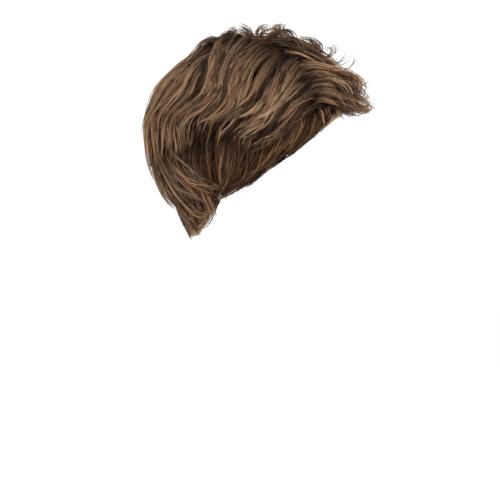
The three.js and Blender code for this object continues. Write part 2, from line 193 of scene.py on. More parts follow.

# Styled locks of the right side, which the left side mirrors. A path runs from the root to the tip,
# as places (behind, above) the origin in millimetres, seen from the side. The layer is the share of
# the hair's depth at which the lock lies.
# Tones fall towards the temple and the lower locks, partly as painted shade of the hair's underside.
StyledLock = namedtuple("StyledLock", "piece width layer tone path")
STYLED_LOCKS = [
    # Long locks of the back, from the hump at the crown
    StyledLock("crown_side", 0.018, 0.97, 0.82, (
        (35, 11), (47, 20), (61, 9), (80, -7), (100, -22), (117, -46), (127, -75), (128, -102), (122, -132),
    )),
    StyledLock("crown_side", 0.017, 0.95, 0.74, (
        (37, 11), (48, 18), (62, 0), (78, -17), (98, -37), (113, -62), (119, -88), (113, -118),
    )),
    StyledLock("crown_side", 0.016, 0.93, 0.68, (
        (41, 8), (51, 14), (61, -8), (74, -26), (92, -42), (106, -62), (111, -88), (104, -120),
    )),
    # Long waves of the side
    StyledLock("crown_side", 0.016, 1.02, 0.66, (
        (38, 16), (46, 2), (50, -18), (53, -38), (62, -53), (80, -63), (95, -80), (98, -105), (92, -128),
    )),
    StyledLock("crown_side", 0.016, 1.00, 0.60, (
        (15, 22), (27, 30), (38, 18), (45, 0), (48, -22),
        (50, -42), (60, -58), (77, -70), (88, -90), (86, -115),
    )),
    StyledLock("crown_side", 0.015, 0.97, 0.46, (
        (4, 21), (15, 27), (26, 13), (35, -6), (41, -28),
        (45, -48), (57, -65), (72, -80), (76, -102), (72, -125),
    )),
    StyledLock("crown_side", 0.014, 1.00, 0.58, (
        (-8, 18), (5, 21), (18, 9), (28, -8), (35, -28), (38, -48), (50, -64), (62, -78), (66, -100),
    )),
    StyledLock("crown_side", 0.013, 1.02, 0.50, (
        (-20, 16), (-4, 15), (12, 2), (23, -14), (28, -32), (28, -50), (36, -68), (50, -81), (58, -100),
    )),
    StyledLock("crown_side", 0.013, 1.04, 0.60, (
        (-32, 14), (-12, 11), (4, -2), (15, -18), (21, -36), (22, -54), (30, -70), (46, -80), (58, -84),
    )),
    StyledLock("crown_side", 0.013, 0.98, 0.42, (
        (-46, 10), (-22, 5), (-4, -8), (6, -24), (12, -42), (16, -60), (24, -76), (36, -90), (42, -108),
    )),
    StyledLock("crown_side", 0.014, 1.06, 0.64, (
        (-48, 4), (-30, -4), (-18, -18), (-8, -36), (2, -53), (14, -66), (30, -75), (48, -80),
    )),
    # Layered locks of the front side
    StyledLock("crown_side", 0.014, 1.02, 0.62, (
        (-64, 6), (-46, -3), (-32, -20), (-22, -40), (-13, -58), (-2, -73), (12, -85), (26, -96),
    )),
    StyledLock("crown_side", 0.013, 1.06, 0.47, (
        (-72, 0), (-54, -9), (-40, -25), (-30, -45), (-20, -64), (-8, -79), (5, -91), (14, -101),
    )),
    StyledLock("crown_side", 0.013, 1.02, 0.52, (
        (-80, -8), (-62, -17), (-49, -32), (-38, -50), (-28, -68), (-16, -83), (-3, -95), (8, -106),
    )),
    StyledLock("crown_side", 0.013, 1.08, 0.34, (
        (-88, -16), (-70, -24), (-56, -38), (-45, -54), (-34, -71), (-21, -86), (-7, -98), (5, -106),
    )),
    StyledLock("crown_side", 0.013, 1.04, 0.28, (
        (-94, -28), (-76, -34), (-62, -47), (-50, -61), (-39, -78), (-26, -93), (-11, -106), (3, -116),
    )),
    StyledLock("crown_side", 0.012, 1.07, 0.26, (
        (-98, -40), (-81, -43), (-67, -53), (-54, -67), (-43, -84), (-30, -99), (-16, -110), (-4, -114),
    )),
    StyledLock("crown_side", 0.012, 1.03, 0.20, (
        (-100, -52), (-84, -53), (-69, -62), (-57, -75), (-47, -91), (-35, -105), (-22, -115),
    )),
    # Short locks over them
    StyledLock("crown_side", 0.009, 1.16, 0.52, (
        (-52, -40), (-39, -54), (-28, -64), (-15, -72), (-4, -81), (4, -92),
    )),
    StyledLock("crown_side", 0.008, 1.14, 0.56, (
        (-22, -46), (-13, -59), (-3, -69), (9, -76), (24, -78),
    )),
    StyledLock("crown_side", 0.008, 1.14, 0.58, (
        (-70, -46), (-58, -55), (-46, -68), (-34, -79), (-20, -86),
    )),
    StyledLock("crown_side", 0.008, 1.16, 0.46, (
        (-24, -72), (-11, -83), (2, -91), (12, -99), (13, -108),
    )),
    StyledLock("crown_side", 0.007, 1.12, 0.36, (
        (-14, -93), (-2, -102), (6, -111), (8, -120),
    )),
    StyledLock("crown_side", 0.008, 1.12, 0.62, (
        (36, -30), (43, -46), (54, -58), (68, -65), (82, -70),
    )),
    StyledLock("crown_side", 0.008, 1.10, 0.56, (
        (62, -42), (76, -53), (88, -66), (94, -82), (92, -98),
    )),
    StyledLock("crown_side", 0.007, 1.12, 0.62, (
        (-4, 12), (8, 3), (20, -5), (29, -15), (34, -32), (37, -52),
    )),
    StyledLock("crown_side", 0.007, 1.12, 0.64, (
        (46, 16), (43, 2), (46, -14), (49, -30), (56, -46), (70, -57),
    )),
    StyledLock("crown_side", 0.006, 1.12, 0.60, (
        (26, 22), (35, 8), (42, -8), (45, -26), (48, -42),
    )),
    StyledLock("crown_side", 0.004, 1.14, 0.72, (
        (-12, -46), (-4, -57), (9, -64), (24, -73), (38, -78), (48, -80),
    )),
    StyledLock("crown_side", 0.006, 1.12, 0.62, (
        (8, -6), (14, -20), (19, -36), (25, -51), (34, -62),
    )),
    StyledLock("crown_side", 0.004, 1.12, 0.74, (
        (52, -44), (64, -56), (78, -62), (90, -73), (95, -90), (94, -108),
    )),
    StyledLock("crown_side", 0.007, 1.14, 0.62, (
        (-70, -30), (-58, -38), (-45, -49), (-31, -62), (-18, -74), (-6, -84),
    )),
    StyledLock("crown_side", 0.006, 1.16, 0.54, (
        (-90, -54), (-74, -51), (-60, -57), (-48, -67), (-35, -78), (-22, -88),
    )),
    StyledLock("crown_side", 0.004, 1.14, 0.60, (
        (-28, -74), (-14, -82), (0, -88), (10, -95), (15, -104),
    )),
    StyledLock("crown_side", 0.003, 1.14, 0.60, (
        (-48, -86), (-38, -94), (-25, -101), (-10, -107), (4, -112),
    )),
    StyledLock("crown_side", 0.003, 1.02, 0.76, (
        (60, 2), (80, -16), (99, -34), (112, -54), (120, -76),
    )),
    # Thin dark locks between the locks, which paint the shade in the gaps between them
    StyledLock("crown_side", 0.004, 1.02, 0.04, (
        (66, -6), (84, -22), (102, -40), (114, -60), (121, -82),
    )),
    StyledLock("crown_side", 0.004, 1.02, 0.04, (
        (70, -26), (86, -38), (101, -54), (110, -74), (112, -96),
    )),
    StyledLock("crown_side", 0.007, 1.10, 0.02, (
        (56, 6), (57, -12), (59, -28), (66, -42), (76, -52),
    )),
    StyledLock("crown_side", 0.008, 1.13, 0.04, (
        (30, 14), (37, -2), (41, -20), (44, -38), (47, -50),
    )),
    StyledLock("crown_side", 0.009, 1.13, 0.04, (
        (12, 8), (24, -14), (30, -30), (34, -46), (38, -58),
    )),
    StyledLock("crown_side", 0.009, 1.14, 0.02, (
        (-14, -34), (-6, -50), (3, -63), (13, -73), (24, -80),
    )),
    StyledLock("crown_side", 0.006, 1.10, 0.03, (
        (-46, -10), (-38, -24), (-33, -38), (-27, -54), (-19, -67),
    )),
    StyledLock("crown_side", 0.005, 1.12, 0.03, (
        (-78, -34), (-66, -41), (-56, -49), (-46, -58), (-36, -68),
    )),
    StyledLock("crown_side", 0.006, 1.10, 0.03, (
        (-98, -60), (-82, -62), (-68, -67), (-56, -75), (-46, -85), (-36, -95),
    )),
    StyledLock("crown_side", 0.006, 1.12, 0.02, (
        (-18, -88), (-6, -96), (4, -101), (11, -109),
    )),
    # Side of the fringe, arched forward
    StyledLock("fringe", 0.011, 1.06, 0.54, (
        (-44, -18), (-62, -14), (-82, -15), (-100, -18), (-114, -22), (-124, -33),
    )),
    StyledLock("fringe", 0.011, 1.08, 0.60, (
        (-50, -30), (-68, -23), (-88, -22), (-106, -27), (-119, -36), (-126, -47),
    )),
    StyledLock("fringe", 0.011, 1.06, 0.46, (
        (-54, -42), (-72, -35), (-92, -34), (-108, -39), (-120, -48), (-129, -57),
    )),
    StyledLock("fringe", 0.011, 1.08, 0.56, (
        (-60, -52), (-78, -45), (-96, -46), (-110, -52), (-121, -60), (-129, -66),
    )),
    StyledLock("fringe", 0.010, 1.04, 0.44, (
        (-66, -60), (-82, -55), (-98, -57), (-110, -62), (-121, -69),
    )),
    # Temple, bowed forward and then swept back
    StyledLock("side", 0.012, 0.95, 0.34, (
        (-90, -62), (-78, -70), (-73, -82), (-68, -95), (-60, -106), (-50, -114),
    )),
    StyledLock("side", 0.012, 0.97, 0.30, (
        (-75, -66), (-64, -76), (-62, -89), (-57, -102), (-49, -112), (-39, -119),
    )),
    StyledLock("side", 0.012, 0.95, 0.36, (
        (-60, -70), (-52, -80), (-51, -93), (-46, -105), (-38, -115), (-28, -123),
    )),
    StyledLock("side", 0.012, 0.92, 0.30, (
        (-49, -78), (-42, -90), (-38, -104), (-30, -117), (-20, -128), (-11, -138),
    )),
    StyledLock("side", 0.012, 0.92, 0.30, (
        (-36, -88), (-28, -103), (-22, -117), (-13, -131), (-3, -142), (6, -149),
    )),
    # Lower side, straight down and swept back at the edge
    StyledLock("side", 0.012, 0.90, 0.32, (
        (-22, -97), (-15, -112), (-10, -127), (-2, -141), (8, -151), (18, -157),
    )),
    StyledLock("side", 0.013, 0.90, 0.35, (
        (-6, -99), (0, -114), (3, -130), (8, -145), (17, -156), (27, -162),
    )),
    StyledLock("side", 0.013, 0.90, 0.30, (
        (8, -103), (12, -120), (15, -137), (21, -151), (30, -161), (38, -167),
    )),
    StyledLock("side", 0.013, 0.88, 0.33, (
        (22, -95), (26, -112), (28, -130), (31, -146), (37, -158), (44, -168),
    )),
    StyledLock("side", 0.013, 0.88, 0.30, (
        (36, -93), (39, -110), (40, -128), (41, -146), (40, -159),
    )),
    StyledLock("side", 0.013, 0.90, 0.35, (
        (50, -91), (53, -108), (55, -126), (55, -143), (48, -156), (36, -162),
    )),
    StyledLock("side", 0.013, 0.90, 0.38, (
        (62, -93), (67, -110), (69, -128), (66, -144), (56, -156), (42, -161),
    )),
    StyledLock("side", 0.012, 0.82, 0.28, (
        (-28, -108), (-18, -124), (-6, -140), (6, -151), (20, -160), (32, -167),
    )),
    StyledLock("side", 0.012, 0.82, 0.28, (
        (26, -122), (29, -138), (34, -152), (41, -164), (47, -176),
    )),
    # Lower back, swept forward
    StyledLock("back", 0.015, 0.95, 0.60, (
        (80, -100), (80, -120), (74, -138), (62, -152), (46, -160), (32, -163),
    )),
    StyledLock("back", 0.015, 0.97, 0.66, (
        (94, -100), (92, -122), (83, -142), (69, -157), (54, -167), (42, -172),
    )),
    StyledLock("back", 0.015, 0.97, 0.62, (
        (106, -100), (103, -124), (92, -145), (78, -162), (64, -175), (50, -181),
    )),
    StyledLock("back", 0.015, 0.98, 0.80, (
        (117, -104), (111, -130), (99, -152), (85, -172), (70, -187), (55, -193),
    )),
    StyledLock("back", 0.014, 0.97, 0.82, (
        (124, -112), (116, -140), (103, -162), (89, -182), (75, -198), (60, -203),
    )),
    StyledLock("back", 0.013, 0.95, 0.82, (
        (112, -152), (98, -172), (84, -192), (73, -207), (66, -214),
    )),
    StyledLock("back", 0.003, 1.02, 0.74, (
        (102, -100), (93, -118), (81, -132), (66, -143), (50, -150),
    )),
    StyledLock("back", 0.003, 1.02, 0.72, (
        (106, -117), (95, -135), (80, -148), (64, -156), (46, -160),
    )),
    StyledLock("back", 0.003, 1.02, 0.74, (
        (112, -134), (98, -152), (82, -164), (66, -172), (50, -176),
    )),
    StyledLock("back", 0.003, 1.02, 0.70, (
        (108, -153), (92, -172), (76, -184), (60, -192),
    )),
    # Thin dark locks, which paint the shade between the back locks
    StyledLock("back", 0.006, 1.00, 0.03, (
        (118, -132), (106, -154), (90, -174), (76, -190),
    )),
    StyledLock("back", 0.006, 1.00, 0.03, (
        (100, -142), (86, -162), (71, -177), (57, -187),
    )),
    StyledLock("back", 0.006, 1.00, 0.03, (
        (88, -106), (80, -127), (68, -145), (52, -155),
    )),
    # Edge locks that lie along the rim
    StyledLock("side", 0.009, 0.60, 0.34, (
        (-106, -58), (-94, -70), (-81, -85), (-67, -100), (-51, -113), (-35, -122),
    )),
    StyledLock("side", 0.009, 0.60, 0.34, (
        (-46, -117), (-32, -126), (-19, -135), (-8, -145), (3, -153), (14, -158),
    )),
    StyledLock("side", 0.009, 0.60, 0.34, (
        (-2, -147), (10, -155), (22, -161), (32, -168), (42, -176),
    )),
    StyledLock("side", 0.010, 0.65, 0.30, (
        (-104, -58), (-92, -72), (-79, -87), (-64, -102), (-47, -114), (-30, -123),
    )),
    StyledLock("side", 0.010, 0.65, 0.30, (
        (-40, -113), (-26, -124), (-14, -134), (-2, -144), (9, -151),
    )),
    StyledLock("nape", 0.009, 0.45, 0.52, (
        (40, -172), (46, -180), (50, -190), (57, -202), (67, -212),
    )),
]

# Rows of locks across the top and the fringe, which share a path seen from the side. Each row lies
# between two places across, in millimetres towards the left side. A path is like that of a
# styled lock, and the flick is the angle that the tips curl by, in degrees.
Sweep = namedtuple("Sweep", "piece locks width across tone flick path")
SWEEPS = [
    # Ridge under the locks of the top, dark as their painted shade
    Sweep("crown_top", 5, 0.020, (-26, 26), 0.15, 0, (
        (78, -20), (58, 2), (32, 16), (0, 20), (-30, 19), (-56, 11), (-78, -4),
    )),
    Sweep("crown_top", 5, 0.016, (-34, 34), 0.50, 0, (
        (14, 9), (-12, 17), (-38, 18), (-60, 13), (-77, 3), (-88, -6),
    )),
    Sweep("crown_top", 6, 0.016, (-40, 40), 0.52, 0, (
        (-10, -3), (-34, 6), (-58, 7), (-77, 0), (-90, -9), (-98, -18),
    )),
    # Hump at the crown
    Sweep("crown_top", 4, 0.012, (-24, 24), 0.64, 0, (
        (32, 6), (40, 14), (49, 17), (57, 6), (66, -7), (80, -20),
    )),
    # Tufts along the top, from the back to the front
    Sweep("crown_top", 5, 0.004, (-32, 30), 0.40, 0, (
        (52, 4), (38, 16), (27, 23), (21, 27), (24, 30), (30, 28),
    )),
    Sweep("crown_top", 5, 0.005, (-32, 34), 0.34, 0, (
        (32, 8), (16, 14), (5, 15), (2, 20), (4, 27), (10, 31), (17, 34),
    )),
    Sweep("crown_top", 5, 0.004, (-30, 32), 0.45, 0, (
        (18, 8), (0, 14), (-7, 20), (-7, 26), (-12, 32), (-18, 31), (-19, 26),
    )),
    Sweep("crown_top", 7, 0.005, (-38, 38), 0.50, 0, (
        (20, 6), (-4, 13), (-19, 20), (-28, 27), (-36, 31), (-44, 28), (-49, 21), (-46, 14),
    )),
    Sweep("crown_top", 5, 0.005, (-34, 34), 0.42, 0, (
        (4, 10), (-15, 16), (-28, 23), (-33, 30), (-30, 33), (-24, 30),
    )),
    Sweep("crown_top", 4, 0.005, (-38, 34), 0.50, 0, (
        (-12, 6), (-30, 12), (-46, 17), (-54, 16), (-58, 10), (-54, 7),
    )),
    Sweep("crown_top", 4, 0.005, (-24, 20), 0.16, 0, (
        (-30, 0), (-54, 5), (-70, 2), (-79, 1), (-81, 7), (-75, 14), (-67, 18), (-60, 19),
    )),
    Sweep("crown_top", 5, 0.005, (-42, 42), 0.50, 0, (
        (-38, -7), (-60, -2), (-78, -3), (-92, -8), (-98, -14), (-94, -19),
    )),
    # Single wisps over the front of the top
    Sweep("crown_top", 2, 0.002, (-14, 10), 0.24, 0, (
        (-50, -8), (-75, -7), (-90, -6), (-98, -1), (-99, 5), (-94, 8), (-86, 5),
    )),
    Sweep("crown_top", 2, 0.0015, (-10, 8), 0.10, 0, (
        (-64, -20), (-86, -15), (-102, -13), (-110, -8), (-114, 3),
    )),
    Sweep("crown_top", 1, 0.0015, (4, 4), 0.15, 0, (
        (-72, -24), (-98, -21), (-115, -18), (-123, -10), (-120, -2),
    )),
    # Hair within the fringe, dark as painted shade under its outer locks
    Sweep("fringe", 6, 0.016, (-42, 42), 0.10, 0, (
        (-56, -28), (-78, -30), (-98, -33), (-112, -39), (-120, -48),
    )),
    Sweep("fringe", 6, 0.016, (-42, 42), 0.10, 0, (
        (-66, -44), (-84, -45), (-102, -48), (-116, -54), (-126, -60),
    )),
    # Fringe, which stands out ahead of the rim
    Sweep("fringe", 8, 0.010, (-40, 40), 0.56, 40, (
        (-40, -10), (-68, -14), (-92, -18), (-108, -20), (-119, -24), (-124, -33), (-121, -42),
    )),
    Sweep("fringe", 9, 0.010, (-44, 44), 0.50, 40, (
        (-40, -23), (-68, -24), (-90, -26), (-109, -31), (-121, -40), (-127, -51),
    )),
    Sweep("fringe", 9, 0.010, (-46, 46), 0.52, 60, (
        (-50, -37), (-74, -38), (-96, -41), (-112, -45), (-124, -51), (-132, -59),
    )),
    Sweep("fringe", 9, 0.010, (-46, 46), 0.48, 60, (
        (-58, -50), (-80, -50), (-100, -51), (-115, -55), (-126, -61), (-133, -66),
    )),
    Sweep("fringe", 9, 0.010, (-46, 46), 0.42, 60, (
        (-68, -63), (-84, -58), (-98, -57), (-110, -60), (-121, -65), (-129, -69),
    )),
    # Light curled ends of the fringe
    Sweep("fringe", 4, 0.003, (-30, 28), 0.85, 0, (
        (-96, -19), (-112, -22), (-122, -28), (-127, -37), (-126, -45),
    )),
    Sweep("fringe", 4, 0.003, (-26, 32), 0.85, 0, (
        (-96, -43), (-112, -45), (-121, -48), (-129, -52), (-136, -57), (-140, -62), (-138, -67),
    )),
    Sweep("fringe", 5, 0.003, (-34, 30), 0.85, 0, (
        (-90, -55), (-107, -59), (-117, -62), (-126, -66), (-133, -66), (-138, -62), (-139, -56),
    )),
    Sweep("fringe", 4, 0.002, (-24, 26), 0.80, 0, (
        (-98, -62), (-112, -66), (-122, -69), (-130, -70), (-136, -67), (-139, -61),
    )),
    # Single dark hairs of the fringe
    Sweep("fringe", 2, 0.0015, (-12, 10), 0.15, 0, (
        (-105, -53), (-122, -56), (-134, -54), (-140, -50), (-144, -43),
    )),
    Sweep("fringe", 2, 0.0015, (-8, 14), 0.15, 0, (
        (-105, -33), (-120, -38), (-129, -38), (-135, -33), (-140, -29),
    )),
]

MILLIMETRE = 0.001
FULL_TURN = 360
HALF_TURN = 180
QUARTER_TURN = 90

# Sides of the wig that locks lie on
ACROSS = 0
RIGHT = 1
LEFT = -1

# All locks. The flick is the angle that the tips curl by, in degrees, and loose the share of clumps
# that drift apart from the lock.
Style = namedtuple("Style", "width wave mess flick pinch tone under loose")
# Locks darker than this are hair under other hair, whose dark tone is painted shade
UNDER_TONE = 0.2
LOCK_FLATNESS = 0.55
LOCK_CLEARANCE = 0.0036
SHORT_STEP = 0.01
MEASURED_POINTS = 24
WAVE_LENGTH = 0.085
WAVE_START = 0.12

# Styled locks
STYLED_MESS = 0.002
STYLED_FLICK = 15
STYLED_PINCH = 0.6
LEFT_STRAY = 0.004
EDGE_LAYER = 0.7
LOOSE_LAYER = 1.0
TIP_SINK = 0.25
TIP_SINK_RUN = (0.6, 1.0)
FRONT_SPREAD = 0.024
FRONT_START = (-0.085, -0.115)
SEATING_LIFT = 0.02
SEATING_ROUNDS = 6

# Swept locks
HAIR_HALF_BREADTH = 0.105
HAIR_SQUARENESS = 2.6
SWEPT_MESS = 0.003
FRINGE_MESS = 0.006
SWEPT_PINCH = 0.4
SWEPT_SHIFT = 0.004
SWEPT_REACH = 0.08
SWEPT_FAN = 1.3
SWEPT_LEAN = 0.012
SWEPT_JITTER = 0.35
SWEPT_WIDEST = 0.08

# Strays of the locks, worked out from a row's key, a lock's number and a channel for each use
STYLED_KEY = 77
SWEPT_KEY = 101
SIDEWAYS_CHANNEL, UPWARD_CHANNEL, PHASE_CHANNEL = 1, 2, 3
PATH_CHANNELS = (4, 5)
REACH_CHANNEL, PLACE_CHANNEL, LEAN_CHANNEL = 4, 5, 6
HASH_KEY, HASH_LOCK, HASH_CHANNEL, HASH_SPREAD = 12.9898, 78.233, 37.719, 43758.5453

# Seeds of the random draws for each piece's strands
SEEDS = {
    "crown_top_strands": 11,
    "crown_right_strands": 14,
    "crown_left_strands": 13,
    "fringe_strands": 21,
    "back_strands": 31,
    "side_right_strands": 41,
    "side_left_strands": 42,
    "nape_strands": 51,
}

# Clumps of strands in a lock. A pair is the least and the most of a random draw.
CLUMP_WIDTH = 0.0034
CLUMP_LAYERS = 2
LEAST_CLUMPS = 3
LONGEST = 1.04
RAGGED = 0.16
RAGGED_MESS = 20
CLUMP_TONES = 0.36
CLUMP_WAVES = (0.4, 1.3)
CLUMP_WAVE_LENGTHS = (0.045, 0.075)
CLUMP_STAND = 0.0016
LOCK_FLICKS = (0.0, 1.5)
CLUMP_FLICKS = (0.5, 1.3)
FLIPPED_SHARE = 0.12
CURL_LEAN = 0.5
CURL_RADII = (0.0045, 0.0085)
LOOSE_SHARE = 0.22
LOOSE_DRIFT = 0.4
CLOSE_DRIFT = 0.06
LOOSE_STAND = 0.002

# Single strands
OWN_ACROSS = 1.2
OWN_DEPTH = 0.3
OWN_END = 0.03
OWN_FLICKS = (0.7, 1.2)
STRAND_TONES = 0.2
# Painted shade and light: a strand's tone darkens with its clump's depth in the lock and towards the lock's
# edges, and lightens in the outermost clumps
DEPTH_SHADE = 1.0
EDGE_SHADE = 0.25
# Depth, or square of the place across, at which a tone is neither shaded nor lightened
UNSHADED = 0.25
WARM_STRANDS = 0.8
FRIZZ_TURNS = (1.0, 2.6)
THICKNESSES = (0.75, 1.2)
ROOT_SPREAD = 0.12
STRAY_SHARE = 0.08
STRAY_FLICK = 1.6
STRAY_FRIZZ = 4.0
FRIZZ_STAND = 0.5
TIP_TAPER = 0.65
TUBE_SIDES = 3

# Hair under other hair
UNDER_SHARE = 0.45
UNDER_THICK = 1.6
UNDER_SPREAD = 0.3
UNDER_GATHER = 0.2

# Points along a strand
POINT_STEP = 0.0135
TUFT_STEP = 0.008
TUFT_WIDTH = 0.006
LEAST_POINTS = 6
FLICK_STEP = 25
FLICK_CROWDING = 1.35
LONGEST_CURL = 0.45

# Form of a lock. A run is the stretch of its length over which a change takes place.
ROOT_GATHER = 0.1
TIP_GATHER = 0.7
GATHER_RUN = (0.1, 0.95)
PINCH_RUN = (0.5, 1.0)
ROOT_WIDTH = 0.8
WIDENING_RUN = (0.0, 0.25)
WAVE_RUN = (0.0, 0.4)
DRIFT_RUN = (0.2, 1.0)
SHIFT_RUN = (0.2, 0.9)
PACKING = 0.8
ROOT_SINK = 0.35
ROOT_RUN = (0.0, 0.1)

# Places of the tones on the strand map
TONE_EDGE = 0.02
NEUTRAL_TONES = 0.66
WARM_TONES = 0.74
WARM_WIDTH = 0.22
MAP_WIDTH = 0.004

# Walls, as grids of columns and rows
CAP_WALL = 0.0015
CAP_GRID = (108, 32)
TAPE_GRID = (180, 7)
TAPE_GAP = 0.0006
TAPE_ABOVE_RIM = 3.5
TAPE_BELOW_RIM = 0.7
TAPE_EDGE = 0.02
WELD_DISTANCE = 1e-6

# Mats that the locks spring from
RING_MAT_GRID = (96, 20)
MAT_GRID = (48, 20)
MAT_GAP = 0.0013
MAT_SHARE = 0.3
CROWN_SHARE = 0.45
CROWN_EDGE = 46
FRINGE_EDGE = 48
SIDE_EDGE = 118
NAPE_EDGE = 97
SIDE_HEM = 94
MAT_ABOVE_RIM = 4.5

# Finishes, with the painted shade at the strands' roots
SHEEN_LEVEL = 0.04
# Painted shade: a strand's colour rises from this share at its root to full at ROOT_SHADE_RUN, as if shaded
# by the hair over it
ROOT_SHADE = 0.12
ROOT_SHADE_RUN = 0.55
STREAKS = (180.0, 5.0, 1.0)
STREAK_SHADE = 0.5
NET_SHADE = 0.35
RIB_EDGES = (0.32, 0.42)
RIB_HEIGHT = 1.5
WARP_THREADS = 900.0
WEFT_THREADS = 24.0
TAPE_SHADE = 0.62
WEAVE_SHARE = 0.6
FLOOR_SHADE = 0.985

# Sockets of a Mix node that mixes colours, by number because they share their names with others
MIX_FACTOR, MIX_FIRST, MIX_SECOND, MIX_RESULT = 0, 6, 7, 2

# Stage
FLOOR_HALF = 20.0
LIGHT_TARGET = (0.0, 0.0, -0.09)
KEY_PLACE = (-1.6, 0.5, 1.7)
KEY_SIZE = 1.2
FILL_PLACE = (-1.2, -1.8, 0.6)
FILL_SIZE = 1.5
KEY_TO_FILL = 3


# Form of the cap

def unit(vectors):
    return vectors / np.linalg.norm(vectors, axis=-1, keepdims=True)


def blend(start, end, share):
    return start + (end - start) * share


def smooth(low, high, values):
    """Rises from 0 at low to 1 at high, with level ends."""
    share = np.clip((values - low) / (high - low), 0.0, 1.0)
    return share * share * (3.0 - 2.0 * share)


def direction(turn, tilt):
    around, down = np.radians(turn), np.radians(tilt)
    across = np.sin(down)
    return np.stack([-across * np.sin(around), -across * np.cos(around), np.cos(down)], axis=-1)


def form_axes(toward):
    rise = np.where(toward[..., 2] > 0, CROWN_RISE, NAPE_DROP)
    breadth = np.full_like(rise, HALF_BREADTH)
    length = np.full_like(rise, HALF_LENGTH)
    return np.stack([breadth, length, rise], axis=-1)


def form_normal(toward):
    return unit(toward / form_axes(toward))


def form_point(toward, lift):
    lifted = form_normal(toward) * np.asarray(lift)[..., None]
    return toward * form_axes(toward) + FORM_CENTRE + lifted


def form_toward(points):
    """Direction on the cap's form that points lie over."""
    inward = points - FORM_CENTRE
    return unit(inward / form_axes(inward))


def form_lift(points):
    """Height of points over the cap's form, and its normal there."""
    toward = form_toward(points)
    normal = form_normal(toward)
    surface = form_point(toward, np.zeros(toward.shape[:-1]))
    return np.sum((points - surface) * normal, axis=-1), normal


def raised(points, least):
    """Keeps points at a least height over the cap's form."""
    lift, normal = form_lift(points)
    return points + normal * np.maximum(least - lift, 0.0)[..., None]


def table_values(table, place, column, at):
    return np.interp(at, [getattr(row, place) for row in table], [getattr(row, column) for row in table])


def rim_tilt(turn):
    """Tilt of the rim, on a smooth curve through its rows."""
    from_front = np.abs(turn) % FULL_TURN
    share = np.minimum(from_front, FULL_TURN - from_front) / HALF_TURN
    knots = np.array([row.turn for row in RIM]) / HALF_TURN
    return curve_through(knots, np.array([[row.tilt] for row in RIM]), share)[..., 0]


def hair_depth(turn, tilt):
    ahead = np.cos(np.radians(turn))
    front = table_values(DEPTH, "tilt", "front", tilt)
    back = table_values(DEPTH, "tilt", "back", tilt)
    side = table_values(DEPTH, "tilt", "side", tilt)
    return blend(side, np.where(ahead > 0, front, back), ahead * ahead)


# Locks

def stray(key, lock, channel):
    """Repeatable stray of a lock, from -1 to 1."""
    mix = math.sin(key * HASH_KEY + lock * HASH_LOCK + channel * HASH_CHANNEL) * HASH_SPREAD
    return 2 * (mix - math.floor(mix)) - 1


def side_key(number, side):
    return 2 * number + (side == LEFT)


def through(values, s):
    """Curve through three values at 0, 1/2 and 1."""
    start, middle, end = values
    return start * (2 * s - 1) * (s - 1) + 4 * middle * s * (1 - s) + end * s * (2 * s - 1)


def curve_through(knots, points, s):
    """Smooth curve through points at their knots, straight past its ends."""
    slopes = np.gradient(points, knots, axis=0)
    span = np.clip(np.searchsorted(knots, s) - 1, 0, len(knots) - 2)
    width = (knots[span + 1] - knots[span])[..., None]
    inside = np.clip(s, 0.0, 1.0)
    t = (inside - knots[span])[..., None] / width
    start, end = points[span], points[span + 1]
    leave, arrive = slopes[span] * width, slopes[span + 1] * width
    value = start * (1 + 2 * t) * (1 - t) ** 2 + end * t * t * (3 - 2 * t)
    value += leave * t * (1 - t) ** 2 - arrive * t * t * (1 - t)
    past = (s - inside)[..., None]
    return value + past * np.where(past > 0, slopes[-1], slopes[0])


class Lock:
    """Outer line of one lock. Each kind of lock gives its own place on the hair's form."""

    def __init__(self, style, key, index):
        self.style = style
        self.sideways = stray(key, index, SIDEWAYS_CHANNEL)
        self.upward = stray(key, index, UPWARD_CHANNEL)
        self.phase = WAVE_START * stray(key, index, PHASE_CHANNEL)

    def measure(self):
        points = self.place(np.linspace(0.0, 1.0, MEASURED_POINTS))
        self.length = np.linalg.norm(np.diff(points, axis=0), axis=-1).sum()
        self.heading = unit(points[len(points) // 2] - points[0])

    def sides(self, point, along):
        """Directions out of the lock and across it."""
        normal = form_normal(form_toward(point))
        return normal, unit(np.cross(normal, along))

    def line(self, s):
        """Point, normal, direction along and direction across at each share s of the length."""
        point = self.place(s)
        along = unit(self.place(s + SHORT_STEP) - self.place(s - SHORT_STEP))
        normal, across = self.sides(point, along)
        turns = s * self.length / WAVE_LENGTH + self.phase
        swing = self.style.wave * np.sin(2 * np.pi * turns) + self.style.mess * self.sideways * s
        lift = self.style.mess / 2 * self.upward * s
        return point + across * swing[..., None] + normal * lift[..., None], normal, along, across


class WeftLock(Lock):
    """One lock of a weft, on a curve between places on the cap."""

    def __init__(self, weft, number, side, index):
        style = Style(weft.width, weft.wave, weft.mess, 0, weft.pinch, weft.tone, weft.under, 0.0)
        super().__init__(style, side_key(number, side), index)
        share = (index + 0.5) / weft.locks
        self.spots = []
        for pair in (weft.root, weft.mid, weft.tip):
            first, last = [direction(side * turn, tilt) for turn, tilt in pair]
            self.spots.append(unit(blend(first, last, share)))
        self.lifts = blend(np.array(weft.lift[0]), np.array(weft.lift[1]), share)
        self.measure()

    def place(self, s):
        return form_point(unit(through(self.spots, s[..., None])), through(self.lifts, s))


class PathLock(Lock):
    """One lock on a smooth curve through points."""

    def follow(self, points):
        self.knots = np.linspace(0.0, 1.0, len(points))
        self.points = points
        self.measure()

    def place(self, s):
        return curve_through(self.knots, self.points, s)


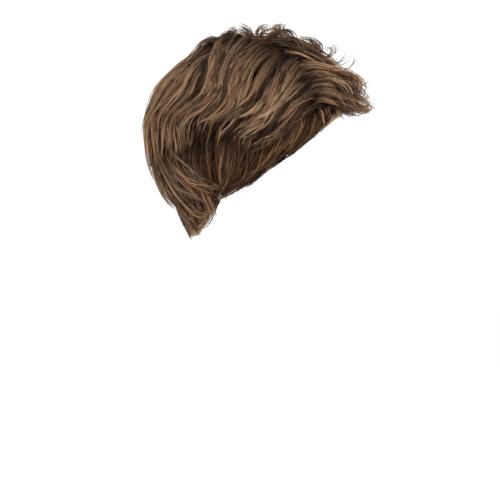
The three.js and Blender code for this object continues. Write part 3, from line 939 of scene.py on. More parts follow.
class SideLock(PathLock):
    """One styled lock, laid over the hair's form at a side."""

    def __init__(self, styled, number, side):
        under = styled.tone < UNDER_TONE
        loose = 0.0 if under or styled.layer < LOOSE_LAYER else LOOSE_SHARE
        style = Style(styled.width, 0.0, STYLED_MESS, STYLED_FLICK, STYLED_PINCH, styled.tone, under, loose)
        super().__init__(style, side_key(number, side), STYLED_KEY)
        path = np.array(styled.path) * MILLIMETRE
        if side == LEFT and styled.layer >= EDGE_LAYER:
            path += LEFT_STRAY * self.path_strays(number, len(path))
        run = np.linspace(0.0, 1.0, len(path))
        layer = styled.layer * (1.0 - TIP_SINK * smooth(*TIP_SINK_RUN, run))
        points = self.seated(*path.T, layer)
        points[:, 0] *= side
        self.follow(points)

    @staticmethod
    def path_strays(number, count):
        """Strays of a path's points, behind and above, from -1 to 1."""
        key = STYLED_KEY + number
        strays = [[stray(key, place, channel) for channel in PATH_CHANNELS] for place in range(count)]
        return np.array(strays)

    @staticmethod
    def seated(behind, above, layer):
        """Points of the right side that lie on the hair's form, from their places seen from the side."""
        lift = np.full(behind.shape, SEATING_LIFT)
        for _ in range(SEATING_ROUNDS):
            end = HALF_LENGTH + lift
            rise = np.where(above > FORM_CENTRE[2], CROWN_RISE, NAPE_DROP) + lift
            left = 1.0 - ((behind - FORM_CENTRE[1]) / end) ** 2 - ((above - FORM_CENTRE[2]) / rise) ** 2
            outward = (HALF_BREADTH + lift) * np.sqrt(np.maximum(left, 0.0))
            least = FRONT_SPREAD * smooth(*FRONT_START, behind)
            points = np.stack([-np.maximum(outward, least), behind, above], axis=-1)
            toward = form_toward(points)
            turn = np.degrees(np.arctan2(-toward[:, 0], -toward[:, 1]))
            tilt = np.degrees(np.arccos(toward[:, 2]))
            lift = layer * hair_depth(turn, tilt)
        return points


class SweptLock(PathLock):
    """One lock of a sweep, whose path is drawn in towards the cap away from the middle."""

    def __init__(self, sweep, number, index):
        under = sweep.tone < UNDER_TONE
        loose = 0.0 if under else LOOSE_SHARE
        mess = FRINGE_MESS if sweep.flick else SWEPT_MESS
        style = Style(sweep.width, 0.0, mess, sweep.flick, SWEPT_PINCH, sweep.tone, under, loose)
        key = SWEPT_KEY + number
        super().__init__(style, key, index)
        first, last = sweep.across
        share = (index + 0.5 + SWEPT_JITTER * stray(key, index, PLACE_CHANNEL)) / sweep.locks
        run = np.linspace(0.0, 1.0, len(sweep.path))
        across = blend(first, last, share) * MILLIMETRE * blend(1.0, SWEPT_FAN, run)
        across += SWEPT_LEAN * stray(key, index, LEAN_CHANNEL) * run**2
        path = np.array(sweep.path) * MILLIMETRE
        path = path[0] + (path - path[0]) * (1.0 + SWEPT_REACH * stray(key, index, REACH_CHANNEL))
        narrow = (1.0 - (np.abs(across) / HAIR_HALF_BREADTH) ** HAIR_SQUARENESS) ** (1.0 / HAIR_SQUARENESS)
        drawn_in = (path - FORM_CENTRE[1:]) * narrow[:, None] + FORM_CENTRE[1:]
        shift = SWEPT_SHIFT * np.array([self.sideways, self.upward / 2])
        self.follow(np.column_stack([across, drawn_in + shift]))

    def sides(self, point, along):
        across = np.clip(point[..., :1], -SWEPT_WIDEST, SWEPT_WIDEST) / HAIR_HALF_BREADTH
        fall = np.abs(across) ** HAIR_SQUARENESS
        slope = fall / (across * HAIR_HALF_BREADTH * (1.0 - fall))
        inward = (FORM_CENTRE - point) * slope
        inward[..., 0] = 1.0
        normal = unit(np.cross(along, unit(inward)))
        return normal, np.cross(normal, along)


def locks_of(piece, side):
    """Locks of a piece on one side of the wig, or across it."""
    if side == ACROSS:
        for number, sweep in enumerate(SWEEPS):
            if sweep.piece == piece:
                yield from (SweptLock(sweep, number, index) for index in range(sweep.locks))
        return
    for number, weft in enumerate(WEFTS):
        if weft.piece == piece:
            yield from (WeftLock(weft, number, side, index) for index in range(weft.locks))
    for number, styled in enumerate(STYLED_LOCKS):
        if styled.piece == piece:
            yield SideLock(styled, number, side)


# Strands

Clumps = namedtuple(
    "Clumps", "across depth end tone warm phase wave wave_length stand flick way lean radius shift drift",
)
Strands = namedtuple("Strands", "across depth begin end tone warm frizz_phase frizz_turns thick wild flick")


def clumps_in_layer(style):
    return max(LEAST_CLUMPS, round(style.width / CLUMP_WIDTH))


def tone_spread(style):
    return UNDER_SPREAD if style.under else 1.0


def draw_clumps(style, fibre, draw):
    """What the strands of each clump of a lock share."""
    in_layer = clumps_in_layer(style)
    count = in_layer * CLUMP_LAYERS
    order = np.arange(count)
    places = (order % in_layer + draw.random(count)) / in_layer
    depth = (order // in_layer + draw.random(count)) / CLUMP_LAYERS
    end = LONGEST - draw.random(count) * (RAGGED + RAGGED_MESS * style.mess)
    tone = draw.normal(style.tone, CLUMP_TONES * tone_spread(style), count)
    warm = draw.random(count) < fibre.warm_share
    phase = draw.uniform(0, 2 * np.pi, count)
    wave = draw.uniform(*CLUMP_WAVES, count) * fibre.clump_wave
    wave_length = draw.uniform(*CLUMP_WAVE_LENGTHS, count)
    close_stand = draw.normal(0, CLUMP_STAND, count)
    flick = np.radians(style.flick) * draw.uniform(*LOCK_FLICKS) * draw.uniform(*CLUMP_FLICKS, count)
    way = np.where(draw.random(count) < FLIPPED_SHARE, -1, 1)
    lean = draw.normal(0, CURL_LEAN, count)
    radius = draw.uniform(*CURL_RADII, count)
    shift = draw.normal(0, style.mess, count)
    loose = draw.random(count) < style.loose
    drift = draw.normal(0, style.width, count) * np.where(loose, LOOSE_DRIFT, CLOSE_DRIFT)
    stand = np.where(loose, np.abs(draw.normal(0, LOOSE_STAND, count)), close_stand)
    return Clumps(
        2 * places - 1, depth, end, tone, warm, phase, wave, wave_length, stand, flick, way, lean, radius,
        shift, drift,
    )


def draw_strands(style, shared, column, draw):
    """What each strand of a lock has of its own, beside what it shares with its clump."""
    spread = tone_spread(style)
    beside = draw.normal(0, OWN_ACROSS / clumps_in_layer(style), column)
    across = np.clip(shared.across + beside, -1, 1)
    depth = np.clip(shared.depth + draw.normal(0, OWN_DEPTH, column), 0, 1)
    begin = draw.uniform(0.0, ROOT_SPREAD, column)
    end = shared.end + draw.normal(0, OWN_END, column)
    tone = shared.tone + spread * draw.normal(0, STRAND_TONES, column)
    # Painted shade and light: deeper clumps and the lock's edges darker, the outermost clumps lighter
    tone -= spread * DEPTH_SHADE * (shared.depth - UNSHADED)
    tone -= spread * EDGE_SHADE * (across**2 - UNSHADED)
    warm = shared.warm & (draw.random(column) < WARM_STRANDS)
    frizz_phase = draw.uniform(0, 2 * np.pi, column)
    frizz_turns = draw.uniform(*FRIZZ_TURNS, column)
    thick = draw.uniform(*THICKNESSES, column) * (UNDER_THICK if style.under else 1.0)
    wild = draw.random(column) < STRAY_SHARE
    flick = shared.flick * draw.uniform(*OWN_FLICKS, column) * np.where(wild, STRAY_FLICK, 1.0)
    return Strands(
        across, depth, begin, end, np.clip(tone, 0, 1), warm, frizz_phase, frizz_turns, thick, wild, flick,
    )


def lock_strands(lock, fibre, draw):
    """Paths, radii and tones of the strands of one lock, with their runs and normals."""
    style = lock.style
    clumps = draw_clumps(style, fibre, draw)
    count = round(style.width * fibre.strands_per_metre * (UNDER_SHARE if style.under else 1.0))
    clump = np.arange(count) % len(clumps.across)
    shared = Clumps(*(values[clump][:, None] for values in clumps))
    own = draw_strands(style, shared, (count, 1), draw)

    # Share of the lock's length at each point, and the angle of the curl at the tip
    step = TUFT_STEP if style.width < TUFT_WIDTH else POINT_STEP
    points = max(LEAST_POINTS, round(lock.length / step) + 1) + round(style.flick / FLICK_STEP)
    run = np.linspace(0.0, 1.0, points)[None, :]
    if style.flick:
        run = 1.0 - (1.0 - run) ** FLICK_CROWDING
    s = own.begin + (own.end - own.begin) * run
    turning = own.end - np.minimum(shared.radius * own.flick / lock.length, LONGEST_CURL)
    on_path = np.minimum(s, turning)
    angle = np.maximum(s - turning, 0.0) * lock.length / shared.radius

    # Place in the lock's section, which gathers into clumps towards the tip
    point, normal, along, across = lock.line(on_path)
    gather = blend(ROOT_GATHER, UNDER_GATHER if style.under else TIP_GATHER, smooth(*GATHER_RUN, on_path))
    place = blend(own.across, shared.across, gather)
    depth = blend(own.depth, shared.depth, gather)
    pinch = 1.0 - style.pinch * smooth(*PINCH_RUN, on_path)
    spread = blend(ROOT_WIDTH, 1.0, smooth(*WIDENING_RUN, on_path)) * pinch
    half_width = style.width / 2 * spread
    half_depth = LOCK_FLATNESS * half_width
    bulge = np.sqrt(np.maximum(1.0 - place**2, 0.0))

    # Waves, frizz and drift
    phase = 2 * np.pi * on_path * lock.length / shared.wave_length + shared.phase
    swing = shared.wave * np.sin(phase) * smooth(*WAVE_RUN, on_path)
    frizz = fibre.frizz * np.where(own.wild, STRAY_FRIZZ, 1.0)
    frizz = frizz * np.sin(2 * np.pi * own.frizz_turns * s + own.frizz_phase)
    drift = shared.drift * smooth(*DRIFT_RUN, on_path)
    sideways = place * half_width + swing + drift + frizz
    down = half_depth * (1.0 - bulge) + 2 * half_depth * bulge * depth * PACKING
    down -= shared.stand * on_path + FRIZZ_STAND * np.roll(frizz, 1, axis=0)
    down += ROOT_SINK * form_lift(point)[0] * (1.0 - smooth(*ROOT_RUN, run))
    path = point + across * sideways[..., None] - normal * down[..., None]
    path += lock.heading * (shared.shift * smooth(*SHIFT_RUN, on_path))[..., None]

    # Curl at the tip
    lean = shared.lean[..., None]
    upward = np.cos(lean) * normal + np.sin(lean) * across
    path += along * (shared.radius * np.sin(angle))[..., None]
    path += upward * (shared.way * shared.radius * (1.0 - np.cos(angle)))[..., None]
    path = raised(path, LOCK_CLEARANCE)

    radii = fibre.strand_width / 2 * own.thick * (1.0 - TIP_TAPER * run**2)
    neutral = TONE_EDGE + NEUTRAL_TONES * own.tone
    tones = np.where(own.warm, WARM_TONES + WARM_WIDTH * own.tone, neutral)
    return path, radii, tones, np.broadcast_to(run, s.shape), normal


def tube_triangles(rings):
    """Triangles of a closed tube of rings and a tip, and the steps of their corners across the map."""
    ring, corner = np.meshgrid(np.arange(rings - 1), np.arange(TUBE_SIDES), indexing="ij")
    ring, corner = ring.ravel(), corner.ravel()
    follow = (corner + 1) % TUBE_SIDES
    a, b = ring * TUBE_SIDES + corner, ring * TUBE_SIDES + follow
    c, d = b + TUBE_SIDES, a + TUBE_SIDES
    lower = np.stack([a, b, c], axis=-1)
    upper = np.stack([a, c, d], axis=-1)
    last = (rings - 1) * TUBE_SIDES
    corners = np.arange(TUBE_SIDES)
    tip = np.full(TUBE_SIDES, rings * TUBE_SIDES)
    point_cap = np.stack([last + corners, last + (corners + 1) % TUBE_SIDES, tip], axis=-1)
    root_cap = corners[None, ::-1]
    triangles = np.concatenate([lower, upper, point_cap, root_cap])
    steps = np.concatenate([
        np.tile([-1, 1, 1], (len(lower), 1)),
        np.tile([-1, 1, -1], (len(upper), 1)),
        np.tile([-1, 1, 0], (len(point_cap) + len(root_cap), 1)),
    ])
    return triangles, steps


def strand_tubes(path, radii, tones, run, normal):
    """Closed tapered tubes along paths: vertices, triangles and the corners' places on the strand map."""
    count, points = path.shape[:2]
    tangent = unit(np.gradient(path, axis=1))
    out = unit(normal - tangent * np.sum(normal * tangent, axis=-1, keepdims=True))
    side = np.cross(tangent, out)
    rings = points - 1
    angles = np.radians(QUARTER_TURN + FULL_TURN / TUBE_SIDES * np.arange(TUBE_SIDES))
    spokes = out[:, :rings, None] * np.cos(angles)[:, None]
    spokes += side[:, :rings, None] * np.sin(angles)[:, None]
    tube = path[:, :rings, None] + spokes * radii[:, :rings, None, None]
    vertices = np.concatenate([tube.reshape(count, -1, 3), path[:, -1:]], axis=1)

    triangles, steps = tube_triangles(rings)
    of_ring = np.minimum(triangles // TUBE_SIDES, points - 1)
    along = run[:, of_ring] * (1 - 4 * MAP_WIDTH) + 2 * MAP_WIDTH
    along[:, -1] += np.array([0.0, 0.0, MAP_WIDTH])
    across = np.broadcast_to(tones[..., None] + MAP_WIDTH * steps, along.shape)
    places = np.stack([across, along], axis=-1)

    offsets = np.arange(count)[:, None, None] * vertices.shape[1]
    return vertices.reshape(-1, 3), (triangles + offsets).reshape(-1, 3), places.reshape(-1, 3, 2)


# Meshes

def joined(parts):
    """One set of vertices, triangles and map places from several."""
    starts = np.cumsum([0] + [len(vertices) for vertices, _, _ in parts[:-1]])
    vertices = np.concatenate([part[0] for part in parts])
    triangles = np.concatenate([part[1] + start for part, start in zip(parts, starts)])
    places = np.concatenate([part[2] for part in parts])
    return vertices, triangles, places


def mesh_object(name, vertices, faces, places, map_name, material):
    """Smooth object from arrays of vertices, faces of like size and their corners' map places."""
    mesh = bpy.data.meshes.new(name)
    count, size = faces.shape
    mesh.vertices.add(len(vertices))
    mesh.vertices.foreach_set("co", vertices.astype(np.float32).ravel())
    mesh.loops.add(count * size)
    mesh.loops.foreach_set("vertex_index", faces.astype(np.int32).ravel())
    mesh.polygons.add(count)
    mesh.polygons.foreach_set("loop_start", np.arange(0, count * size, size, dtype=np.int32))
    mesh.polygons.foreach_set("use_smooth", np.ones(count, dtype=bool))
    layer = mesh.uv_layers.new(name=map_name)
    layer.data.foreach_set("uv", places.astype(np.float32).ravel())
    mesh.update(calc_edges=True)
    mesh.validate()
    mesh.materials.append(material)
    piece = bpy.data.objects.new(name, mesh)
    bpy.context.collection.objects.link(piece)
    return piece


def wall_grid(grid, turns=None):
    """Turns of a grid between two turns or all the way round, and the share of the way down of its rows."""
    columns, rows = grid
    first, last = turns or (0, FULL_TURN)
    around = np.linspace(first, last, columns, endpoint=turns is not None)
    return np.broadcast_to(around, (rows, columns)), np.linspace(0.0, 1.0, rows)[:, None]


def wall_object(name, inner, outer, ring, material):
    """Closed wall between two grids of points. A ring joins its last column to its first."""
    rows, columns = inner.shape[:2]
    count = rows * columns
    vertices = np.concatenate([inner.reshape(-1, 3), outer.reshape(-1, 3)])
    number = np.arange(count).reshape(rows, columns)
    follow = np.roll(number, -1, axis=1) if ring else number[:, 1:]
    here = number if ring else number[:, :-1]
    skin = np.stack([here[:-1], here[1:], follow[1:], follow[:-1]], axis=-1).reshape(-1, 4)
    top = np.stack([here[0], follow[0], follow[0] + count, here[0] + count], axis=-1)
    bottom = np.stack([follow[-1], here[-1], here[-1] + count, follow[-1] + count], axis=-1)
    faces = [skin[:, ::-1], skin + count, top, bottom]
    if not ring:
        left = number[:, 0]
        right = number[:, -1]
        faces.append(np.stack([left[1:], left[:-1], left[:-1] + count, left[1:] + count], axis=-1))
        faces.append(np.stack([right[:-1], right[1:], right[1:] + count, right[:-1] + count], axis=-1))
    faces = np.concatenate(faces)

    across, along = np.meshgrid(np.arange(columns), np.arange(rows))
    grid = np.stack([across, along], axis=-1).reshape(-1, 2)
    places = grid[faces % count] / np.array([columns, rows])
    # Corners that a ring's last faces share with its first column lie past the end of the map
    wrapped = places[..., 0].max(axis=1, keepdims=True) - places[..., 0] > 0.5
    places[..., 0] += wrapped
    piece = mesh_object(name, vertices, faces, places, NET_MAP, material)
    edit = bmesh.new()
    edit.from_mesh(piece.data)
    bmesh.ops.remove_doubles(edit, verts=edit.verts, dist=WELD_DISTANCE)
    bmesh.ops.recalc_face_normals(edit, faces=edit.faces)
    edit.to_mesh(piece.data)
    edit.free()
    return piece


# Pieces

def dress(piece, slot, *nodes):
    """Puts a piece on the frame in place of its nodes."""
    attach(piece, BODY)
    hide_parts(*nodes)


def build_strands(name, piece, sides, slot, node, material, fibre):
    """One object with all the strands of a piece on some sides of the wig."""
    draw = np.random.default_rng(SEEDS[name])
    locks = [lock for side in sides for lock in locks_of(piece, side)]
    parts = [strand_tubes(*lock_strands(lock, fibre, draw)) for lock in locks]
    strands = mesh_object(name, *joined(parts), STRAND_MAP, material)
    dress(strands, slot, node)


def build_mat(name, turns, top, lower_edge, slot, node, material):
    """Mat of hair from a tilt down to a lower edge, between two turns or all the way round."""
    ring = turns is None
    turn, down = wall_grid(RING_MAT_GRID if ring else MAT_GRID, turns)
    tilt = blend(top, lower_edge(turn), down)
    toward = direction(turn, tilt)
    base = np.full(turn.shape, CAP_WALL + MAT_GAP)
    share = CROWN_SHARE if ring else MAT_SHARE
    inner = form_point(toward, base)
    outer = form_point(toward, base + share * hair_depth(turn, tilt))
    dress(wall_object(name, inner, outer, ring, material), slot, node)


def crown_hem(turn):
    return np.full(turn.shape, CROWN_EDGE)


def back_hem(turn):
    return np.full(turn.shape, NAPE_EDGE)


def above_rim(turn):
    return rim_tilt(turn) - MAT_ABOVE_RIM


def side_hem(turn):
    return np.minimum(above_rim(turn), SIDE_HEM)


# Materials

class Wire:
    """A socket of a shader tree that takes part in Python sums."""

    def __init__(self, tree, node, output=0):
        self.tree = tree
        self.node = node
        self.socket = node.outputs[output] if node.outputs else None

    @classmethod
    def add(cls, tree, kind, settings=None, inputs=None, output=0):
        """Adds a node of a kind with its settings, then the values or wires of its sockets."""
        node = tree.nodes.new(kind)
        for name, value in (settings or {}).items():
            if name == "stops":
                cls.set_stops(node.color_ramp, value)
            else:
                setattr(node, name, value)
        for name, value in (inputs or {}).items():
            if isinstance(value, cls):
                tree.links.new(value.socket, node.inputs[name])
            else:
                node.inputs[name].default_value = value
        return cls(tree, node, output)

    @staticmethod
    def set_stops(ramp, stops):
        while len(ramp.elements) < len(stops):
            ramp.elements.new(1.0)
        for element, (position, colour) in zip(ramp.elements, stops):
            element.position = position
            element.color = colour

    def out(self, output):
        return Wire(self.tree, self.node, output)

    def math(self, operation, *terms):
        return Wire.add(self.tree, "ShaderNodeMath", {"operation": operation}, dict(enumerate(terms)))

    def function(self, operation):
        return self.math(operation, self)

    def __add__(self, other):
        return self.math("ADD", self, other)

    def __sub__(self, other):
        return self.math("SUBTRACT", self, other)

    def __mul__(self, other):
        return self.math("MULTIPLY", self, other)

    def __pow__(self, other):
        return self.math("POWER", self, other)

    __radd__ = __add__
    __rmul__ = __mul__

    def __rsub__(self, other):
        return self.math("SUBTRACT", other, self)

    def __rpow__(self, other):
        return self.math("POWER", other, self)


def shaded(colour, share):
    return [*(channel * share for channel in colour[:3]), 1.0]


def mixed(tree, factor, first, second, blend_type="MIX"):
    """Colour between two others."""
    settings = {"data_type": "RGBA", "blend_type": blend_type}
    inputs = {MIX_FACTOR: factor, MIX_FIRST: first, MIX_SECOND: second}
    return Wire.add(tree, "ShaderNodeMix", settings, inputs, MIX_RESULT)


def bumped(tree, height, strength, distance):
    inputs = {"Height": height, "Strength": strength, "Distance": distance}
    return Wire.add(tree, "ShaderNodeBump", None, inputs)


def eased(tree, value, low, high, start=0.0, end=1.0):
    """Rises smoothly from start to end while a value goes from low to high."""
    inputs = {"Value": value, "From Min": low, "From Max": high, "To Min": start, "To Max": end}
    return Wire.add(tree, "ShaderNodeMapRange", {"interpolation_type": "SMOOTHSTEP"}, inputs)


def map_places(tree, map_name):
    """Places across and along a map."""
    place = Wire.add(tree, "ShaderNodeUVMap", {"uv_map": map_name})
    across = Wire.add(tree, "ShaderNodeSeparateXYZ", None, {"Vector": place})
    return across, across.out("Y")


def new_tree(name):
    """Material of a name, with an empty shader tree."""
    material = bpy.data.materials.get(name) or bpy.data.materials.new(name)
    material.use_nodes = True
    material.node_tree.nodes.clear()
    return material, material.node_tree


def finish_tree(tree, inputs):
    """Ends a tree in one Principled surface."""
    surface = Wire.add(tree, "ShaderNodeBsdfPrincipled", None, inputs)
    Wire.add(tree, "ShaderNodeOutputMaterial", None, {"Surface": surface})


def fibre_material(name, fibre, shade):
    """Fibre whose colour follows the tone of each strand, times a shade colour, and the run from its root
    to its tip, darkening towards the root as painted shade of the hair over it.
    """
    material, tree = new_tree(name)
    tone, run = map_places(tree, STRAND_MAP)
    warm_start = WARM_TONES - (WARM_TONES - NEUTRAL_TONES) / 2
    stops = [
        (0.0, fibre.dark),
        (NEUTRAL_TONES / 2, fibre.middle),
        (NEUTRAL_TONES, fibre.light),
        (warm_start, fibre.warm_dark),
        (1.0, fibre.warm_light),
    ]
    colour = Wire.add(tree, "ShaderNodeValToRGB", {"stops": stops}, {"Fac": tone})
    # The shade colour is a tint on the upper hair and partly painted shade on the lower hair
    colour = mixed(tree, 1.0, colour, tuple(shade), "MULTIPLY")
    # Painted shade: darker towards the root, where the hair over it would shade it
    rise = eased(tree, run, 0.0, ROOT_SHADE_RUN, start=ROOT_SHADE)
    colour = Wire.add(tree, "ShaderNodeVectorMath", {"operation": "SCALE"}, {0: colour, "Scale": rise})
    finish_tree(tree, {
        "Base Color": colour, "Roughness": fibre.roughness, "Specular IOR Level": SHEEN_LEVEL,
        "Specular Tint": tuple(fibre.sheen),
    })
    return material


def upper_fibre(fibre):
    return fibre_material("fibre_upper", fibre, fibre.upper_shade)


# Copy of the fibre with painted shade over the lower hair
def shaded_lower_fibre(fibre):
    return fibre_material("fibre_lower_shaded", fibre, fibre.lower_painted_shade)


def mat_material(fibre):
    """Hair close to the cap, dark as painted shade of the hair over it, streaked from the top down."""
    material, tree = new_tree("hair_mat")
    place = Wire.add(tree, "ShaderNodeUVMap", {"uv_map": NET_MAP})
    stretched = Wire.add(tree, "ShaderNodeVectorMath", {"operation": "MULTIPLY"}, {0: place, 1: STREAKS})
    streak = Wire.add(tree, "ShaderNodeTexNoise", None, {"Vector": stretched, "Scale": 1.0, "Detail": 3.0})
    colour = mixed(tree, streak, shaded(fibre.dark, STREAK_SHADE), fibre.dark)
    bump = bumped(tree, streak, strength=0.8, distance=0.001)
    finish_tree(tree, {"Base Color": colour, "Roughness": 0.8, "Specular IOR Level": 0.05, "Normal": bump})
    return material


def net_material(cap):
    """Stretch net: fine diamond holes between threads, with a rib at each row of sewn wefts."""
    material, tree = new_tree("stretch_net")
    across, along = map_places(tree, NET_MAP)
    turns = across * cap.net_columns
    rows = along * cap.net_rows
    first = ((turns + rows) * math.pi).function("SINE").function("ABSOLUTE")
    second = ((turns - rows) * math.pi).function("SINE").function("ABSOLUTE")
    thread = 1 - first.math("MINIMUM", first, second)
    band = (along * cap.weft_rows).function("FRACT")
    rib = eased(tree, (band - 0.5).function("ABSOLUTE"), *RIB_EDGES)
    mask = rib.math("MAXIMUM", thread**2.0, rib)
    colour = mixed(tree, mask, shaded(cap.net_colour, NET_SHADE), tuple(cap.net_colour))
    bump = bumped(tree, thread + rib * RIB_HEIGHT, strength=0.7, distance=0.0006)
    finish_tree(tree, {"Base Color": colour, "Roughness": 0.85, "Specular IOR Level": 0.1, "Normal": bump})
    return material


def tape_material(cap):
    """Woven tape: crossing threads, a little worn."""
    material, tree = new_tree("woven_tape")
    across, along = map_places(tree, NET_MAP)
    warp = (across * WARP_THREADS * math.pi).function("SINE")
    weft = (along * WEFT_THREADS * math.pi).function("SINE")
    weave = warp * weft * 0.5 + 0.5
    wear = Wire.add(tree, "ShaderNodeTexNoise", None, {"Scale": 60.0, "Detail": 3.0})
    mask = weave * WEAVE_SHARE + wear * (1.0 - WEAVE_SHARE)
    colour = mixed(tree, mask, shaded(cap.tape_colour, TAPE_SHADE), tuple(cap.tape_colour))
    bump = bumped(tree, weave, strength=0.6, distance=0.0003)
    finish_tree(tree, {"Base Color": colour, "Roughness": 0.8, "Normal": bump})
    return material


def floor_material(stage):
    material, tree = new_tree("pale_floor")
    grain = Wire.add(tree, "ShaderNodeTexNoise", None, {"Scale": 3.0, "Detail": 2.0})
    colour = mixed(tree, grain, shaded(stage.floor_colour, FLOOR_SHADE), tuple(stage.floor_colour))
    finish_tree(tree, {"Base Color": colour, "Roughness": 0.9, "Specular IOR Level": 0.1})
    return material


# Settings that a user would change

class CapSettings(bpy.types.PropertyGroup):
    """Stretch cap and its edge tape."""

    net_colour: bpy.props.FloatVectorProperty(
        name="Net colour", description="Colour of the stretch net", subtype="COLOR", size=4,
        default=(0.022, 0.015, 0.011, 1.0), min=0.0, max=1.0,
    )
    net_columns: bpy.props.IntProperty(
        name="Net columns", description="Holes of the net round the cap", default=190,
    )
    net_rows: bpy.props.IntProperty(
        name="Net rows", description="Holes of the net from the top to the rim", default=70,
    )
    weft_rows: bpy.props.IntProperty(
        name="Weft rows", description="Rows of sewn wefts from the top to the rim", default=13,
    )
    tape_colour: bpy.props.FloatVectorProperty(
        name="Tape colour", description="Colour of the edge tape", subtype="COLOR", size=4,
        default=(0.32, 0.2, 0.115, 1.0), min=0.0, max=1.0,
    )
    tape_wall: bpy.props.FloatProperty(
        name="Tape wall", description="Thickness of the edge tape", default=0.001, subtype="DISTANCE",
        unit="LENGTH", precision=4,
    )


class FibreSettings(bpy.types.PropertyGroup):
    """Synthetic fibre of the hair."""

    strand_width: bpy.props.FloatProperty(
        name="Strand width", description="Thickness of a strand near its root", default=0.0006,
        subtype="DISTANCE", unit="LENGTH", precision=5,
    )
    strands_per_metre: bpy.props.FloatProperty(
        name="Strands per metre", description="Strands for each metre of a lock's width", default=4000,
    )
    clump_wave: bpy.props.FloatProperty(
        name="Clump wave", description="Sideways wave of a clump of strands", default=0.0016,
        subtype="DISTANCE", unit="LENGTH", precision=4,
    )
    frizz: bpy.props.FloatProperty(
        name="Frizz", description="Sideways wave of a single strand", default=0.0007,
        subtype="DISTANCE", unit="LENGTH", precision=5,
    )
    warm_share: bpy.props.FloatProperty(
        name="Warm share", description="Share of clumps with a reddish tone", default=0.15,
        subtype="FACTOR", min=0.0, max=1.0,
    )
    roughness: bpy.props.FloatProperty(
        name="Roughness", description="Roughness of the fibre's sheen", default=0.42,
        subtype="FACTOR", min=0.0, max=1.0,
    )
    sheen: bpy.props.FloatVectorProperty(
        name="Sheen", description="Colour of the fibre's sheen", subtype="COLOR", size=4,
        default=(1.0, 0.75, 0.55, 1.0), min=0.0, max=1.0,
    )
    dark: bpy.props.FloatVectorProperty(
        name="Dark", description="Darkest neutral tone", subtype="COLOR", size=4,
        default=(0.026, 0.0162, 0.0112, 1.0), min=0.0, max=1.0,
    )
    middle: bpy.props.FloatVectorProperty(
        name="Middle", description="Middle neutral tone", subtype="COLOR", size=4,
        default=(0.157, 0.094, 0.0575, 1.0), min=0.0, max=1.0,
    )
    light: bpy.props.FloatVectorProperty(
        name="Light", description="Lightest neutral tone", subtype="COLOR", size=4,
        default=(0.51, 0.342, 0.218, 1.0), min=0.0, max=1.0,
    )
    warm_dark: bpy.props.FloatVectorProperty(
        name="Warm dark", description="Darkest reddish tone", subtype="COLOR", size=4,
        default=(0.075, 0.032, 0.02, 1.0), min=0.0, max=1.0,
    )
    warm_light: bpy.props.FloatVectorProperty(
        name="Warm light", description="Lightest reddish tone", subtype="COLOR", size=4,
        default=(0.36, 0.19, 0.115, 1.0), min=0.0, max=1.0,
    )
    upper_shade: bpy.props.FloatVectorProperty(
        name="Upper shade", description="Shade over the tones of the upper hair", subtype="COLOR", size=4,
        default=(1.0, 0.97, 0.925, 1.0), min=0.0, max=1.0,
    )
    # Partly painted shade: darkens the lower hair as if in the shade of the hair over it, and warms its
    # colour
    lower_painted_shade: bpy.props.FloatVectorProperty(
        name="Lower shade", description="Shade over the tones of the lower hair", subtype="COLOR", size=4,
        default=(0.66, 0.58, 0.5, 1.0), min=0.0, max=1.0,
    )


class StageSettings(bpy.types.PropertyGroup):
    """Floor, light and camera."""

    floor_height: bpy.props.FloatProperty(
        name="Floor height", description="Height of the floor", default=-0.497, subtype="DISTANCE",
        unit="LENGTH",
    )
    floor_colour: bpy.props.FloatVectorProperty(
        name="Floor colour", description="Colour of the floor", subtype="COLOR", size=4,
        default=(0.92, 0.92, 0.92, 1.0), min=0.0, max=1.0,
    )
    sky: bpy.props.FloatProperty(
        name="Sky", description="Strength of the white surround", default=1.1, min=0.0,
    )
    key_power: bpy.props.FloatProperty(
        name="Key power", description="Power of the key light", default=60.0, subtype="POWER", unit="POWER",
    )
    view_distance: bpy.props.FloatProperty(
        name="View distance", description="Distance of the camera from the middle of the wig", default=9.0,
        subtype="DISTANCE", unit="LENGTH",
    )
    view_width: bpy.props.FloatProperty(
        name="View width", description="Width of the picture at the middle of the wig", default=0.6,
        subtype="DISTANCE", unit="LENGTH",
    )
    view_middle: bpy.props.FloatVectorProperty(
        name="View middle", description="Point at the middle of the picture", size=3,
        default=(0.0, 0.0024, -0.2352), subtype="TRANSLATION", unit="LENGTH",
    )


# Operators

class WIG_OT_cap(bpy.types.Operator):
    """Makes the stretch cap"""

    bl_idname = "wig.cap"
    bl_label = "Cap"

    def execute(self, context):
        turn, down = wall_grid(CAP_GRID)
        toward = direction(turn, rim_tilt(turn) * down)
        inner = form_point(toward, np.zeros(turn.shape))
        outer = form_point(toward, np.full(turn.shape, CAP_WALL))
        piece = wall_object("cap_net", inner, outer, True, net_material(context.scene.wig_cap))
        dress(piece, "net", "cap")
        return {"FINISHED"}


class WIG_OT_tape(bpy.types.Operator):
    """Makes the tape along the rim of the cap"""

    bl_idname = "wig.tape"
    bl_label = "Edge tape"

    def execute(self, context):
        cap = context.scene.wig_cap
        turn, down = wall_grid(TAPE_GRID)
        toward = direction(turn, rim_tilt(turn) + blend(-TAPE_ABOVE_RIM, TAPE_BELOW_RIM, down))
        base = np.full(turn.shape, CAP_WALL + TAPE_GAP)
        bulge = np.sqrt(np.sin(np.pi * np.clip(down, TAPE_EDGE, 1.0 - TAPE_EDGE)))
        inner = form_point(toward, base)
        outer = form_point(toward, base + cap.tape_wall * bulge)
        piece = wall_object("edge_tape_band", inner, outer, True, tape_material(cap))
        dress(piece, "tape", "edge_tape")
        return {"FINISHED"}


